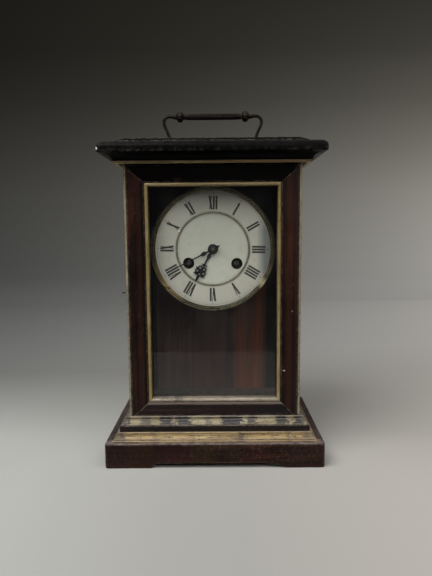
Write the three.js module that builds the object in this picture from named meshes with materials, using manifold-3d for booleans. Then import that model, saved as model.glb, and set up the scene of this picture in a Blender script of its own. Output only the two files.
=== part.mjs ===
// A bracket clock: a small spring-driven table clock in an ebonised and gilt wooden case,
// with a glazed front door, a carrying handle, a going train, a striking train and a coil gong.
// Millimetres. +Z is up, the dial faces -Y, and the origin is the bottom centre of the clock.

import * as THREE from 'three';
import { mergeVertices } from 'three/addons/utils/BufferGeometryUtils.js';
import Module from 'manifold-3d';

const wasm = await Module();
wasm.setup();

const TURN = Math.PI * 2;

// ---------------------------------------------------------------- driving sizes

// Clearances.
const seatGap = 0.3;         // between a piece and the neighbour that carries it
const runningGap = 0.3;      // between a turning arbor and its hole
const doorGap = 0.8;         // above the door, and below it
const doorBackGap = 1.0;     // between the door's back and the case

// Case.
const bodyHalfWidth = 96;
const bodyDepth = 130;
const boardThickness = 8;
const mouldingOverhang = 22.3;   // how far the cornice, and the plinth's front, stand out from the body
const plinthSideOverhang = mouldingOverhang + 2.2;
const plinthHeight = 27.1;
const plinthThickness = 14;
const archHeight = 5.2;
const archLeft = -64.5;          // the arch was cut uneven: steep at its left end and long at its right
const archRight = 54.3;
const archLeftSlope = 5.9;
const archRightSlope = 16.1;     // down to the shoulder, which stands at three fifths of the height
const archRightFoot = 7;
const archShoulderHeight = archHeight * 0.6;
const lowerMouldingHeight = 9.2;
const lowerCoveWidth = 5.2;
const lowerCoveHeight = 6.8;
const lowerLedge = 1.2;
const floorHeight = 6.9;
const floorOverhang = 9.5;
const upperMouldingHeight = 7.9;
const upperCoveWidth = 4.2;
const upperCoveHeight = 5.1;
const upperLedge = 1.2;
const corniceBottom = 329.4;
const corniceHeight = 21.1;
const corniceFillet = 2.6;       // height of the fillet that the gilt bead stands against
const corniceLip = 4.4;          // height of the upright edge between the cove and the ovolo
const ovoloWidth = 8.2;
const ovoloHeight = 6.6;
const crownHeight = 6.4;
const crownOverhang = 6;
const crownStep = 3.4;
const crownTopInset = 3.8;
const corniceBeadWidth = 5.8;
const corniceBeadDepth = 2.3;
const filletOverhang = 2.8;

// Door.
const doorThickness = 16;
const stileWidth = 22;
const topRailWidth = 18.3;
const bottomRailWidth = 15.1;
const cornerBead = 3;
const sightBeadWidth = 4.2;
const sightBeadProud = 0.8;
const glassSetBack = 8.5;
const glassThickness = 2;
const hingeFromSide = 2.5;
const hingeFromBack = 4;
const hingePinRadius = 1.5;
const hingePinDepth = 6;         // how far a pivot pin reaches into the case
const hingePinInDoor = 12;
const latchHeight = 190.8;
const latchPinRadius = 0.7;
const latchPinLength = 5.4;
const latchPinFromFront = 8;
const latchReach = 20;           // from the hook's pivot to the latch pin
const hookThickness = 1.2;
const hookWidth = 3.2;
const latchScrewRadius = 1.4;

// Handle.
const gripHeight = 35;           // of the grip's axis above the crown board
const gripRadius = 3.7;
const knobRadius = 6.2;
const knobX = 38.4;
const knobHalfLength = 4.4;
const armRadius = 1.6;
const armFootRadius = 4;
const armFootThickness = 1.2;
const armTenonDepth = 4;
const armReach = 20;             // from the knob's middle to the arm's outermost point
const armFootReach = 13.6;       // from the knob's middle to the arm's foot

// Dial and hands.
const dialHeight = 237.6;
const dialX = -0.65;
const dialTwist = 0.95 * Math.PI / 180;   // the movement sits slightly turned in its case
const bezelSetBack = 24;
const bezelRadius = 71.3;
const bezelSight = 65.4;
const bezelThickness = 6;
const bezelLip = 2.2;
const dialRadius = 68;
const dialThickness = 1.2;
const windingHoleRadius = 6.5;
const windingX = 27.5;
const windingZ = -16.3;
const minuteHandLength = 57;
const hourHandLength = 42;
const minuteHandAngle = 242.4 * Math.PI / 180;
const hourHandAngle = 208.1 * Math.PI / 180;
const handThickness = 0.7;
const handGap = 1.2;

// Movement.
const frontPlateSetBack = 13;    // from the dial's face to the front plate
const plateThickness = 2;
const plateSpacing = 42;
const plateHalfWidth = 54;
const plateTop = 46;
const plateBottom = -46;
const plateChamfer = 7;
const pillarRadius = 3;
const pillarX = 49;
const pillarUpperZ = 38;
const pillarLowerZ = -41;
const wheelThickness = 1.6;
const arborRadius = 1;
const pivotRadius = 0.8;
const winderRadius = 3;
const winderSquare = 3.2;
const winderSetBack = 3;         // the winding squares end this far behind the dial's face
const drumRadius = 21;
const drumLength = plateSpacing - 18;
const drumWall = 1.5;
const springThickness = 0.6;
const springTurns = 4;

// Teeth: module, and number of teeth of each wheel and pinion.
const greatModule = 1;
const greatTeeth = 48;
const greatPinionTeeth = 8;
const intermediateModule = 0.8;
const intermediateTeeth = 42;
const centrePinionTeeth = 7;
const centreModule = 0.65;
const centreTeeth = 42;
const thirdPinionTeeth = 7;
const thirdModule = 0.6;
const thirdTeeth = 42;
const fourthPinionTeeth = 7;
const fourthModule = 0.5;
const fourthTeeth = 42;
const escapePinionTeeth = 8;
const cannonModule = 0.8;
const cannonTeeth = 10;
const minuteWheelTeeth = 30;
const hourPinionTeeth = 10;
const hourWheelTeeth = 40;
const pinWheelModule = 0.6;
const pinWheelTeeth = 42;
const flyPinionTeeth = 7;
const escapeTeeth = 30;
const pendulumSwing = 4 * Math.PI / 180;
const palletClearance = 0.4;
const escapeRadius = 10.3;
const escapeToothDepth = 2.2;
const palletSpan = 8.5;          // escape wheel teeth between the pallets
const escapeArborZ = 23;
const thirdArborDirection = 135 * Math.PI / 180;
const pinWheelDirection = 100 * Math.PI / 180;
const flyDirection = 110 * Math.PI / 180;

// Pendulum.
const pendulumLength = 100.2;
const bobRadius = 15;
const bobThickness = 8;
const rodRadius = 1.2;
const pendulumBehindPlate = 8;

// Strike and gong.
const gongZ = -12;
const gongOuterRadius = 33;
const gongWireRadius = 1.3;
const gongTurns = 4;
const gongBlockRadius = 8;
const gongFromBack = 10;
const hammerArborX = -43.5;
const hammerArborZ = -40;
const hammerHeadRadius = 4;
const hammerHeadLength = 9;
const hammerClearance = 1.2;     // from the resting hammer to the gong
const pinCount = 8;
const pinCircle = 9.8;
const liftingPinRadius = 0.8;
const bracketArmX = 30;
const bracketArmWidth = 6;
const bracketArmHeight = 3;
const bracketThickness = 3;
const bracketHeight = 16;
const cockHalfWidth = 6;
const cockAboveAxis = 2.1;
const dialFootCircle = 52;
const dialFootRadius = 2;
const minuteStudRadius = 1.2;
const centreTipRadius = 1;
const pipeWall = 0.9;
const ornamentAt = 29;           // middle of the hour hand's pierced ornament
const ornamentRadius = 5.6;
const ornamentHole = 3.4;
const hourHubRadius = 5.2;
const minuteHubRadius = 4.6;
const minuteTail = 9;
const flyReach = 8.5;
const flyLength = 20;
const suspensionHalfWidth = 2.4;
const suspensionLength = 9;
const crutchLength = 30;
const pinionLength = 3.2;

// ---------------------------------------------------------------- places worked out from them

const floorBottom = plinthHeight + lowerMouldingHeight;
const floorTop = floorBottom + floorHeight;
const baseTop = floorTop + upperMouldingHeight;
const corniceTop = corniceBottom + corniceHeight;
const corniceUnderside = corniceBottom + corniceFillet;
const crownTop = corniceTop + crownHeight;
const handleHeight = crownTop + gripHeight;
const backY = (bodyDepth + mouldingOverhang) / 2;
const handleY = backY - bodyDepth / 2;
const doorFrontY = backY - bodyDepth;
const doorBackY = doorFrontY + doorThickness;
const caseFrontY = doorBackY + doorBackGap;
const innerHalfWidth = bodyHalfWidth - boardThickness;
const innerBackY = backY - boardThickness;
const doorBottom = baseTop + doorGap;
const doorTop = corniceBottom - doorGap;
const sightHalfWidth = bodyHalfWidth - stileWidth;
const sightBottom = doorBottom + bottomRailWidth;
const sightTop = doorTop - topRailWidth;
const hingeX = bodyHalfWidth - hingeFromSide;
const hingeY = doorBackY - hingeFromBack;
const glassFrontY = doorFrontY + glassSetBack;
const bezelFrontY = doorFrontY + bezelSetBack;
const dialFaceY = bezelFrontY + bezelLip + seatGap;
const frontPlateY = dialFaceY + frontPlateSetBack;
const trainFrontY = frontPlateY + plateThickness;
const trainBackY = trainFrontY + plateSpacing;
const backPlateY = trainBackY + plateThickness;
const pendulumY = backPlateY + pendulumBehindPlate;
const gongY = innerBackY - gongFromBack;

// Depths of the wheels, counted from the back face of the front plate.
const centreWheelY = trainFrontY + 1;
const thirdWheelY = centreWheelY + wheelThickness + 1.9;
const drumFrontY = thirdWheelY + wheelThickness + 1.9;
const greatWheelY = drumFrontY + drumLength;
const fourthWheelY = drumFrontY + 12;
const escapeWheelY = greatWheelY + 2;
const intermediateWheelY = escapeWheelY + wheelThickness + 1.4;
const minuteWheelY = frontPlateY - 3;
const hourWheelY = minuteWheelY - 3;
const hourHandY = dialFaceY - handGap - handThickness;
const minuteHandY = hourHandY - handGap - handThickness;

// Where the arbors stand, seen from the front, with the hands' axis as origin.
const at = (x, z) => new THREE.Vector2(x, z);
const centreAt = at(0, 0);
const timeWinderAt = at(windingX, windingZ);
const strikeWinderAt = at(-windingX, windingZ);
const escapeAt = at(0, escapeArborZ);
const pitchDistance = (module, teeth, leaves) => module * (teeth + leaves) / 2;
const greatDistance = pitchDistance(greatModule, greatTeeth, greatPinionTeeth);
const thirdDistance = pitchDistance(centreModule, centreTeeth, thirdPinionTeeth);
const thirdAt = polar(centreAt, thirdDistance, thirdArborDirection);
const intermediateAt = meet(
  centreAt,
  pitchDistance(intermediateModule, intermediateTeeth, centrePinionTeeth),
  timeWinderAt,
  greatDistance,
);
const fourthAt = meet(
  thirdAt,
  pitchDistance(thirdModule, thirdTeeth, fourthPinionTeeth),
  escapeAt,
  pitchDistance(fourthModule, fourthTeeth, escapePinionTeeth),
);
const minuteWheelAt = at(0, -pitchDistance(cannonModule, cannonTeeth, minuteWheelTeeth));
const hourModule = 2 * minuteWheelAt.length() / (hourPinionTeeth + hourWheelTeeth);
const pinWheelAt = polar(strikeWinderAt, greatDistance, pinWheelDirection);
const flyAt = polar(pinWheelAt, pitchDistance(pinWheelModule, pinWheelTeeth, flyPinionTeeth), flyDirection);
const palletHalfAngle = palletSpan * TURN / escapeTeeth / 2;
const anchorAt = at(0, escapeArborZ + escapeRadius / Math.cos(palletHalfAngle));
const hammerAt = at(hammerArborX, hammerArborZ);

function polar(from, distance, angle) {
  return at(from.x + distance * Math.cos(angle), from.y + distance * Math.sin(angle));
}

// The point at distance p from a and q from b, on the left of the way from a to b.
function meet(a, p, b, q) {
  const way = b.clone().sub(a);
  const span = way.length();
  const along = (p * p + span * span - q * q) / (2 * span);
  const side = Math.sqrt(p * p - along * along);
  way.divideScalar(span);
  return at(a.x + way.x * along - way.y * side, a.y + way.y * along + way.x * side);
}

// ---------------------------------------------------------------- colours

const finish = (color, roughness, metalness) => ({ color, roughness, metalness });
const ebony = finish(0x1c1714, 0.35, 0);
const mahogany = finish(0x3a1f1a, 0.35, 0);
const gilt = finish(0xb09a5a, 0.45, 0.6);
const brass = finish(0xb08d4a, 0.35, 1);
const bronze = finish(0x4a4338, 0.4, 0.9);
const steel = finish(0x6d7075, 0.35, 1);
const blued = finish(0x23262c, 0.35, 0.8);
const silvered = finish(0xb9b8ac, 0.5, 0.2);
const glassy = finish(0xdfe8e6, 0.05, 0);
const pine = finish(0x6b4a2e, 0.7, 0);

// ---------------------------------------------------------------- geometry helpers

// Welds a geometry, drops its empty triangles and turns its faces outward.
function clean(geometry) {
  geometry.deleteAttribute('normal');
  geometry.deleteAttribute('uv');
  const welded = mergeVertices(geometry, 1e-4);
  const place = welded.getAttribute('position');
  const index = Array.from(welded.getIndex().array);
  const faces = [];
  const a = new THREE.Vector3();
  const b = new THREE.Vector3();
  const c = new THREE.Vector3();
  let volume = 0;
  for (let i = 0; i < index.length; i += 3) {
    const [p, q, r] = index.slice(i, i + 3);
    if (p === q || q === r || r === p) continue;
    faces.push([p, q, r]);
    a.fromBufferAttribute(place, p);
    b.fromBufferAttribute(place, q);
    c.fromBufferAttribute(place, r);
    volume += a.dot(b.cross(c));
  }
  welded.setIndex(faces.flatMap(([p, q, r]) => (volume < 0 ? [p, r, q] : [p, q, r])));
  return welded;
}

function toSolid(geometry) {
  const welded = clean(geometry);
  const mesh = new wasm.Mesh({
    numProp: 3,
    vertProperties: new Float32Array(welded.getAttribute('position').array),
    triVerts: new Uint32Array(welded.getIndex().array),
  });
  return new wasm.Manifold(mesh);
}

function toGeometry(solid) {
  const mesh = solid.getMesh();
  const geometry = new THREE.BufferGeometry();
  geometry.setAttribute('position', new THREE.BufferAttribute(mesh.vertProperties, 3));
  geometry.setIndex(new THREE.BufferAttribute(mesh.triVerts, 1));
  return geometry;
}

function join(...pieces) {
  return toGeometry(pieces.map(toSolid).reduce((whole, piece) => whole.add(piece)));
}

function cut(piece, ...tools) {
  return toGeometry(tools.map(toSolid).reduce((left, tool) => left.subtract(tool), toSolid(piece)));
}

function block(x, y, z) {
  const box = new THREE.BoxGeometry(x[1] - x[0], y[1] - y[0], z[1] - z[0]);
  return box.translate((x[0] + x[1]) / 2, (y[0] + y[1]) / 2, (z[0] + z[1]) / 2);
}

function outline(points) {
  return new THREE.Shape(points.map(([x, z]) => at(x, z)));
}

// A flat piece whose outline lies in the XZ plane, from depth y0 to y1.
function sheet(shape, y0, y1, curveSegments = 12) {
  const flat = new THREE.ExtrudeGeometry(shape, { depth: y1 - y0, bevelEnabled: false, curveSegments });
  return flat.rotateX(Math.PI / 2).translate(0, y1, 0);
}

// A piece whose outline lies in the XY plane, from height z0 to z1.
function column(shape, z0, z1) {
  return new THREE.ExtrudeGeometry(shape, { depth: z1 - z0, bevelEnabled: false }).translate(0, 0, z0);
}

// A piece turned about an axis along Y: the profile is a list of [radius, y].
function turned(profile, centre = centreAt, sides = 16) {
  const points = profile.map(([radius, y]) => new THREE.Vector2(radius, y));
  return new THREE.LatheGeometry(points, sides).translate(centre.x, 0, centre.y);
}

// A plain rod along Y.
function rod(radius, y0, y1, centre = centreAt, sides = 10) {
  return turned([[0, y0], [radius, y0], [radius, y1], [0, y1]], centre, sides);
}

// A tube along Y.
function tube(inner, outer, y0, y1, centre = centreAt, sides = 12) {
  return turned([[inner, y0], [outer, y0], [outer, y1], [inner, y1], [inner, y0]], centre, sides);
}

// Sweeps a closed profile of [a, b] points through stations; place(station, a, b) gives [x, y, z].
function mitred(profile, stations, closed, place) {
  const size = profile.length;
  const positions = [];
  const faces = [];
  for (let s = 0; s < stations; s += 1) {
    for (const [a, b] of profile) positions.push(...place(s, a, b));
  }
  const spans = closed ? stations : stations - 1;
  for (let s = 0; s < spans; s += 1) {
    const here = s * size;
    const next = ((s + 1) % stations) * size;
    for (let i = 0; i < size; i += 1) {
      const j = (i + 1) % size;
      faces.push(here + i, next + i, next + j, here + i, next + j, here + j);
    }
  }
  if (!closed) {
    const last = (stations - 1) * size;
    const flat = profile.map(([a, b]) => new THREE.Vector2(a, b));
    for (const [p, q, r] of THREE.ShapeUtils.triangulateShape(flat, [])) {
      faces.push(p, q, r, last + p, last + r, last + q);
    }
  }
  const geometry = new THREE.BufferGeometry();
  geometry.setAttribute('position', new THREE.Float32BufferAttribute(positions, 3));
  geometry.setIndex(faces);
  return geometry;
}

// A moulding that runs along the left side, the front and the right side of the case, ending flush
// with its back. The profile lists [overhang, z], counted from the faces of the body.
function caseMoulding(profile) {
  const place = (station, overhang, z) => {
    const side = station < 2 ? -1 : 1;
    const front = station === 1 || station === 2;
    const y = front ? doorFrontY - overhang : backY;
    return [side * (bodyHalfWidth + overhang), y, z];
  };
  return mitred(profile, 4, false, place);
}

// Points on a quarter of an ellipse from one end to the other, both ends included.
function quarter(centre, radii, from, to, steps = 4) {
  const points = [];
  for (let i = 0; i <= steps; i += 1) {
    const angle = (from + (to - from) * i / steps) * Math.PI / 180;
    points.push([centre[0] + radii[0] * Math.cos(angle), centre[1] + radii[1] * Math.sin(angle)]);
  }
  return points;
}

// ---------------------------------------------------------------- teeth

// Tooth proportions: height above the pitch circle and depth below it in modules, and half widths
// at the tip and the root as shares of the pitch.
const wheelTooth = { above: 1.15, below: 1.45, tip: 0, root: 0.3 };
const leafTooth = { above: 0.85, below: 1.45, tip: 0.1, root: 0.17 };

function toothed(teeth, module, tooth, phase) {
  const pitchRadius = module * teeth / 2;
  const root = pitchRadius - module * tooth.below;
  const tip = pitchRadius + module * tooth.above;
  const step = TURN / teeth;
  const points = [];
  for (let i = 0; i < teeth; i += 1) {
    const middle = phase + i * step;
    points.push(polar(centreAt, root, middle - tooth.root * step));
    if (tooth.tip > 0) points.push(polar(centreAt, tip, middle - tooth.tip * step));
    points.push(polar(centreAt, tip, middle + tooth.tip * step));
    points.push(polar(centreAt, root, middle + tooth.root * step));
  }
  return new THREE.Shape(points);
}

function gear(teeth, module, tooth, phase, y, thickness, centre) {
  return sheet(toothed(teeth, module, tooth, phase), y, y + thickness).translate(centre.x, 0, centre.y);
}

const direction = (from, to) => Math.atan2(to.y - from.y, to.x - from.x);

// The angle of one tooth of a gear that meshes with another one, whose tooth angle is known.
function meshed(phase, teeth, otherTeeth, from, to) {
  const way = direction(from, to);
  return way + Math.PI - (phase - way) * teeth / otherTeeth + Math.PI / otherTeeth;
}

const greatPhase = 0;
const intermediatePhase = meshed(greatPhase, greatTeeth, greatPinionTeeth, timeWinderAt, intermediateAt);
const centrePinionPhase = meshed(
  intermediatePhase, intermediateTeeth, centrePinionTeeth, intermediateAt, centreAt,
);
const thirdPhase = meshed(centrePinionPhase, centreTeeth, thirdPinionTeeth, centreAt, thirdAt);
const fourthPhase = meshed(thirdPhase, thirdTeeth, fourthPinionTeeth, thirdAt, fourthAt);
const escapePinionPhase = meshed(fourthPhase, fourthTeeth, escapePinionTeeth, fourthAt, escapeAt);
const cannonPhase = 0;
const minuteWheelPhase = meshed(cannonPhase, cannonTeeth, minuteWheelTeeth, centreAt, minuteWheelAt);
const hourWheelPhase = meshed(minuteWheelPhase, hourPinionTeeth, hourWheelTeeth, minuteWheelAt, centreAt);
const pinWheelPhase = meshed(greatPhase, greatTeeth, greatPinionTeeth, strikeWinderAt, pinWheelAt);
const flyPhase = meshed(pinWheelPhase, pinWheelTeeth, flyPinionTeeth, pinWheelAt, flyAt);

// ---------------------------------------------------------------- case

function plinthFront() {
  const half = bodyHalfWidth + plinthSideOverhang;
  const shoulder = archRight + archRightSlope;
  const shape = outline([
    [-half, 0],
    [archLeft - archLeftSlope, 0],
    [archLeft, archHeight],
    [archRight, archHeight],
    [shoulder, archShoulderHeight],
    [shoulder + archRightFoot, 0],
    [half, 0],
    [half, plinthHeight],
    [-half, plinthHeight],
  ]);
  const front = doorFrontY - mouldingOverhang;
  return sheet(shape, front, front + plinthThickness);
}

function plinthSide(side) {
  const outer = side * (bodyHalfWidth + plinthSideOverhang);
  const inner = outer - side * plinthThickness;
  const front = doorFrontY - mouldingOverhang + plinthThickness;
  return block([Math.min(inner, outer), Math.max(inner, outer)], [front, backY], [0, plinthHeight]);
}

function plinthBack() {
  const half = bodyHalfWidth + plinthSideOverhang - plinthThickness;
  return block([-half, half], [backY - plinthThickness, backY], [archHeight, plinthHeight]);
}

function baseMouldingLower() {
  const foot = floorOverhang + lowerLedge + lowerCoveWidth + lowerLedge;
  const coveTop = floorBottom - seatGap * 3;
  const cove = quarter([foot - lowerLedge, coveTop], [lowerCoveWidth, lowerCoveHeight], 270, 180);
  return caseMoulding([
    [-boardThickness, plinthHeight],
    [foot, plinthHeight],
    [foot, plinthHeight + seatGap * 2],
    ...cove,
    [floorOverhang, floorBottom],
    [-boardThickness, floorBottom],
  ]);
}

function caseFloor() {
  const half = bodyHalfWidth + floorOverhang;
  const front = doorFrontY - floorOverhang;
  const plan = outline([
    [-half, front],
    [half, front],
    [half, backY],
    [innerHalfWidth, backY],
    [innerHalfWidth, innerBackY],
    [-innerHalfWidth, innerBackY],
    [-innerHalfWidth, backY],
    [-half, backY],
  ]);
  return column(plan, floorBottom, floorTop);
}

function hingeHole(z0, z1) {
  const radius = hingePinRadius + runningGap;
  return new THREE.CylinderGeometry(radius, radius, z1 - z0, 12)
    .rotateX(Math.PI / 2)
    .translate(hingeX, hingeY, (z0 + z1) / 2);
}

function baseMouldingUpper() {
  const foot = floorOverhang - upperLedge * 2;
  const coveTop = floorTop + upperLedge + upperCoveHeight;
  const cove = quarter([foot, coveTop], [upperCoveWidth, upperCoveHeight], 270, 180);
  const moulding = caseMoulding([
    [-boardThickness, floorTop],
    [foot + upperLedge / 2, floorTop],
    ...cove,
    [upperLedge, baseTop],
    [-boardThickness, baseTop],
  ]);
  return cut(moulding, hingeHole(baseTop - hingePinDepth - seatGap, baseTop + 1));
}

function caseSide(side) {
  const outer = side * bodyHalfWidth;
  const inner = side * innerHalfWidth;
  const x = [Math.min(inner, outer), Math.max(inner, outer)];
  return block(x, [caseFrontY, backY], [baseTop, corniceBottom]);
}

function backBoard() {
  return block([-innerHalfWidth, innerHalfWidth], [innerBackY, backY], [floorBottom, corniceTop]);
}

function cornice() {
  const tip = mouldingOverhang;
  const soffitEnd = filletOverhang + corniceBeadWidth + seatGap * 2;
  const coveTop = corniceTop - ovoloHeight - corniceLip;
  const cove = quarter([tip, corniceUnderside], [tip - soffitEnd, coveTop - corniceUnderside], 180, 90, 5);
  const ovolo = quarter([tip - ovoloWidth, corniceTop - ovoloHeight], [ovoloWidth, ovoloHeight], 0, 90, 4);
  const moulding = caseMoulding([
    [-boardThickness, corniceBottom],
    [filletOverhang, corniceBottom],
    [filletOverhang, corniceUnderside],
    ...cove,
    ...ovolo,
    [-boardThickness, corniceTop],
  ]);
  return cut(moulding, hingeHole(corniceBottom - 1, corniceBottom + hingePinDepth + seatGap));
}

function corniceBead() {
  const half = corniceBeadWidth / 2;
  const inner = filletOverhang + seatGap;
  const top = corniceUnderside - seatGap;
  return caseMoulding(quarter([inner + half, top], [half, corniceBeadDepth], 180, 360, 6));
}

function crownBoard() {
  const rise = crownTop - corniceTop;
  const edge = (overhang, z) => {
    const half = bodyHalfWidth + overhang;
    const front = doorFrontY - overhang;
    return [[-half, backY, z], [-half, front, z], [half, front, z], [half, backY, z]];
  };
  const levels = [
    edge(crownOverhang, corniceTop),
    edge(crownOverhang, corniceTop + rise * 0.35),
    edge(crownOverhang - crownStep, corniceTop + rise * 0.55),
    edge(-crownTopInset, crownTop),
  ];
  const profile = levels.map((_, level) => [level, 0]);
  const around = [0, 1, 2, 3].map((corner) => profile.map(([level]) => levels[level][corner]));
  const positions = around.flat(2);
  const faces = [];
  const size = levels.length;
  for (let corner = 0; corner < 4; corner += 1) {
    const next = (corner + 1) % 4;
    for (let level = 0; level + 1 < size; level += 1) {
      const a = corner * size + level;
      const b = next * size + level;
      faces.push(a, b, b + 1, a, b + 1, a + 1);
    }
  }
  const top = size - 1;
  faces.push(0, 2 * size, size, 0, 3 * size, 2 * size);
  faces.push(top, size + top, 2 * size + top, top, 2 * size + top, 3 * size + top);
  const geometry = new THREE.BufferGeometry();
  geometry.setAttribute('position', new THREE.Float32BufferAttribute(positions, 3));
  geometry.setIndex(faces);
  const socketRadius = armRadius + seatGap;
  const socket = (side) => new THREE.CylinderGeometry(socketRadius, socketRadius, armTenonDepth + 2, 10)
    .rotateX(Math.PI / 2)
    .translate(side * armEnd.x, handleY, crownTop - armTenonDepth / 2 + 1 - seatGap);
  return cut(geometry, socket(-1), socket(1));
}

// ---------------------------------------------------------------- handle

// The right arm's path from its knob to the crown board, as [x, z] seen from the front: shares of
// its reach beside the knob, and of the height of the grip's axis above the board.
const armShape = [
  [0.5, 1.014],
  [0.75, 1.011],
  [0.95, 0.931],
  [1, 0.8],
  [0.91, 0.657],
  [0.76, 0.497],
  [0.66, 0.343],
  [0.64, 0.2],
];
const armStart = [knobX + knobHalfLength + seatGap, handleHeight];
const armBend = armShape.map(([x, z]) => [knobX + armReach * x, crownTop + gripHeight * z]);
const armRoute = [armStart, ...armBend];
const armEnd = new THREE.Vector3(knobX + armFootReach, handleY, crownTop);

function handleArm(side) {
  const points = armRoute.map(([x, z]) => new THREE.Vector3(side * x, handleY, z));
  points.push(new THREE.Vector3(side * armEnd.x, handleY, crownTop + armFootThickness / 2));
  const path = new THREE.CatmullRomCurve3(points, false, 'centripetal');
  const section = new THREE.Shape().absarc(0, 0, armRadius, 0, TURN);
  const rodding = new THREE.ExtrudeGeometry(section, { steps: 20, extrudePath: path, curveSegments: 4 });
  const foot = new THREE.CylinderGeometry(armFootRadius * 0.8, armFootRadius, armFootThickness, 14)
    .rotateX(Math.PI / 2)
    .translate(side * armEnd.x, handleY, crownTop + armFootThickness / 2);
  const tenon = new THREE.CylinderGeometry(armRadius, armRadius, armTenonDepth + 0.5, 10)
    .rotateX(Math.PI / 2)
    .translate(side * armEnd.x, handleY, crownTop - armTenonDepth / 2 + 0.25);
  return join(rodding, foot, tenon);
}

function turnedAlongX(profile, centreX, sides) {
  const points = profile.map(([radius, x]) => new THREE.Vector2(radius, x));
  return new THREE.LatheGeometry(points, sides)
    .rotateZ(-Math.PI / 2)
    .translate(centreX, handleY, handleHeight);
}

function handleGrip() {
  const half = knobX - knobHalfLength - seatGap;
  const flutes = 12;
  const points = [];
  for (let i = 0; i < flutes * 2; i += 1) {
    const radius = i % 2 === 0 ? gripRadius : gripRadius - 0.5;
    points.push(polar(centreAt, radius, i * TURN / flutes / 2));
  }
  const bar = new THREE.ExtrudeGeometry(new THREE.Shape(points), { depth: 2 * half, bevelEnabled: false });
  return bar.rotateY(Math.PI / 2).translate(-half, handleY, handleHeight);
}

function handleKnob(side) {
  const profile = [
    [0, -knobHalfLength],
    [2.4, -knobHalfLength],
    [3.4, -knobHalfLength + 1.4],
    [knobRadius, 0],
    [3.4, knobHalfLength - 1.4],
    [2.4, knobHalfLength],
    [0, knobHalfLength],
  ];
  return turnedAlongX(profile, side * knobX, 10);
}

// ---------------------------------------------------------------- door

const mitreBottomX = sightHalfWidth + bottomRailWidth;

function doorStile(side) {
  const shape = outline([
    [side * sightHalfWidth, sightBottom],
    [side * mitreBottomX, doorBottom],
    [side * bodyHalfWidth, doorBottom],
    [side * bodyHalfWidth, doorTop],
    [side * sightHalfWidth, sightTop],
  ]);
  const board = sheet(shape, doorFrontY, doorBackY);
  const inner = side * (bodyHalfWidth - cornerBead - seatGap);
  const outer = side * (bodyHalfWidth + 1);
  const rebate = block(
    [Math.min(inner, outer), Math.max(inner, outer)],
    [doorFrontY - 1, doorFrontY + cornerBead + seatGap],
    [doorBottom - 1, doorTop + 1],
  );
  if (side < 0) return cut(board, rebate);
  const reach = hingePinInDoor + seatGap;
  const lower = hingeHole(doorBottom - 1, doorBottom + reach);
  const upper = hingeHole(doorTop - reach, doorTop + 1);
  return cut(board, rebate, lower, upper);
}

function doorRail(top) {
  const gap = seatGap / 2;
  const inner = sightHalfWidth - gap;
  const shape = top
    ? outline([
      [-inner, sightTop],
      [inner, sightTop],
      [bodyHalfWidth - gap * 4, doorTop],
      [-bodyHalfWidth + gap * 4, doorTop],
    ])
    : outline([
      [-mitreBottomX + gap * 2, doorBottom],
      [mitreBottomX - gap * 2, doorBottom],
      [inner, sightBottom],
      [-inner, sightBottom],
    ]);
  const rail = sheet(shape, doorFrontY, doorBackY);
  if (!top) return rail;
  const pinHole = hingeHole(doorTop - hingePinInDoor, doorTop + 1);
  const clear = bodyHalfWidth - cornerBead - seatGap;
  const beyond = bodyHalfWidth + 1;
  const rebates = [-1, 1].map((side) => block(
    [Math.min(side * clear, side * beyond), Math.max(side * clear, side * beyond)],
    [doorFrontY - 1, doorFrontY + cornerBead + seatGap],
    [sightTop, doorTop + 1],
  ));
  return cut(rail, ...rebates, pinHole);
}

function doorBead(side) {
  const inner = bodyHalfWidth - cornerBead;
  const back = doorFrontY + cornerBead;
  const corner = quarter([inner + 0.5, back - 0.5], [cornerBead - 0.5, -(cornerBead - 0.5)], 0, 90, 4);
  const plan = [[inner, back], [bodyHalfWidth, back], ...corner, [inner, doorFrontY]];
  return column(outline(plan.map(([x, y]) => [side * x, y])), doorBottom, doorTop);
}

function sightBead() {
  const half = sightBeadWidth / 2;
  const front = doorFrontY - sightBeadProud;
  const nose = quarter([seatGap + half, front + half], [half, half], 180, 360, 5);
  const profile = [
    ...nose,
    [seatGap + sightBeadWidth, glassFrontY - seatGap],
    [seatGap, glassFrontY - seatGap],
  ];
  const corners = [[-1, 0], [1, 0], [1, 1], [-1, 1]];
  return mitred(profile, 4, true, (station, inset, y) => {
    const [side, up] = corners[station];
    const z = up ? sightTop - inset : sightBottom + inset;
    return [side * (sightHalfWidth - inset), y, z];
  });
}

function doorGlass() {
  const half = sightHalfWidth - seatGap;
  const z = [sightBottom + seatGap, sightTop - seatGap];
  return block([-half, half], [glassFrontY, glassFrontY + glassThickness], z);
}

function hingePin(top) {
  const edge = top ? doorTop : doorBottom;
  const out = top ? 1 : -1;
  const inside = edge - out * hingePinInDoor;
  const outside = edge + out * (doorGap + hingePinDepth);
  const length = Math.abs(outside - inside);
  return new THREE.CylinderGeometry(hingePinRadius, hingePinRadius, length, 12)
    .rotateX(Math.PI / 2)
    .translate(hingeX, hingeY, (inside + outside) / 2);
}

const latchPinY = doorFrontY + latchPinFromFront;
const latchPivotY = latchPinY + latchReach;

function latchPin() {
  const headLength = 1;
  const profile = [
    [0, 0],
    [latchPinRadius, 0],
    [latchPinRadius, latchPinLength - headLength],
    [latchPinRadius * 1.9, latchPinLength - headLength],
    [latchPinRadius * 1.9, latchPinLength],
    [0, latchPinLength],
  ];
  return new THREE.LatheGeometry(profile.map(([r, y]) => new THREE.Vector2(r, y)), 10)
    .rotateZ(Math.PI / 2)
    .translate(-bodyHalfWidth, latchPinY, latchHeight);
}

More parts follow.
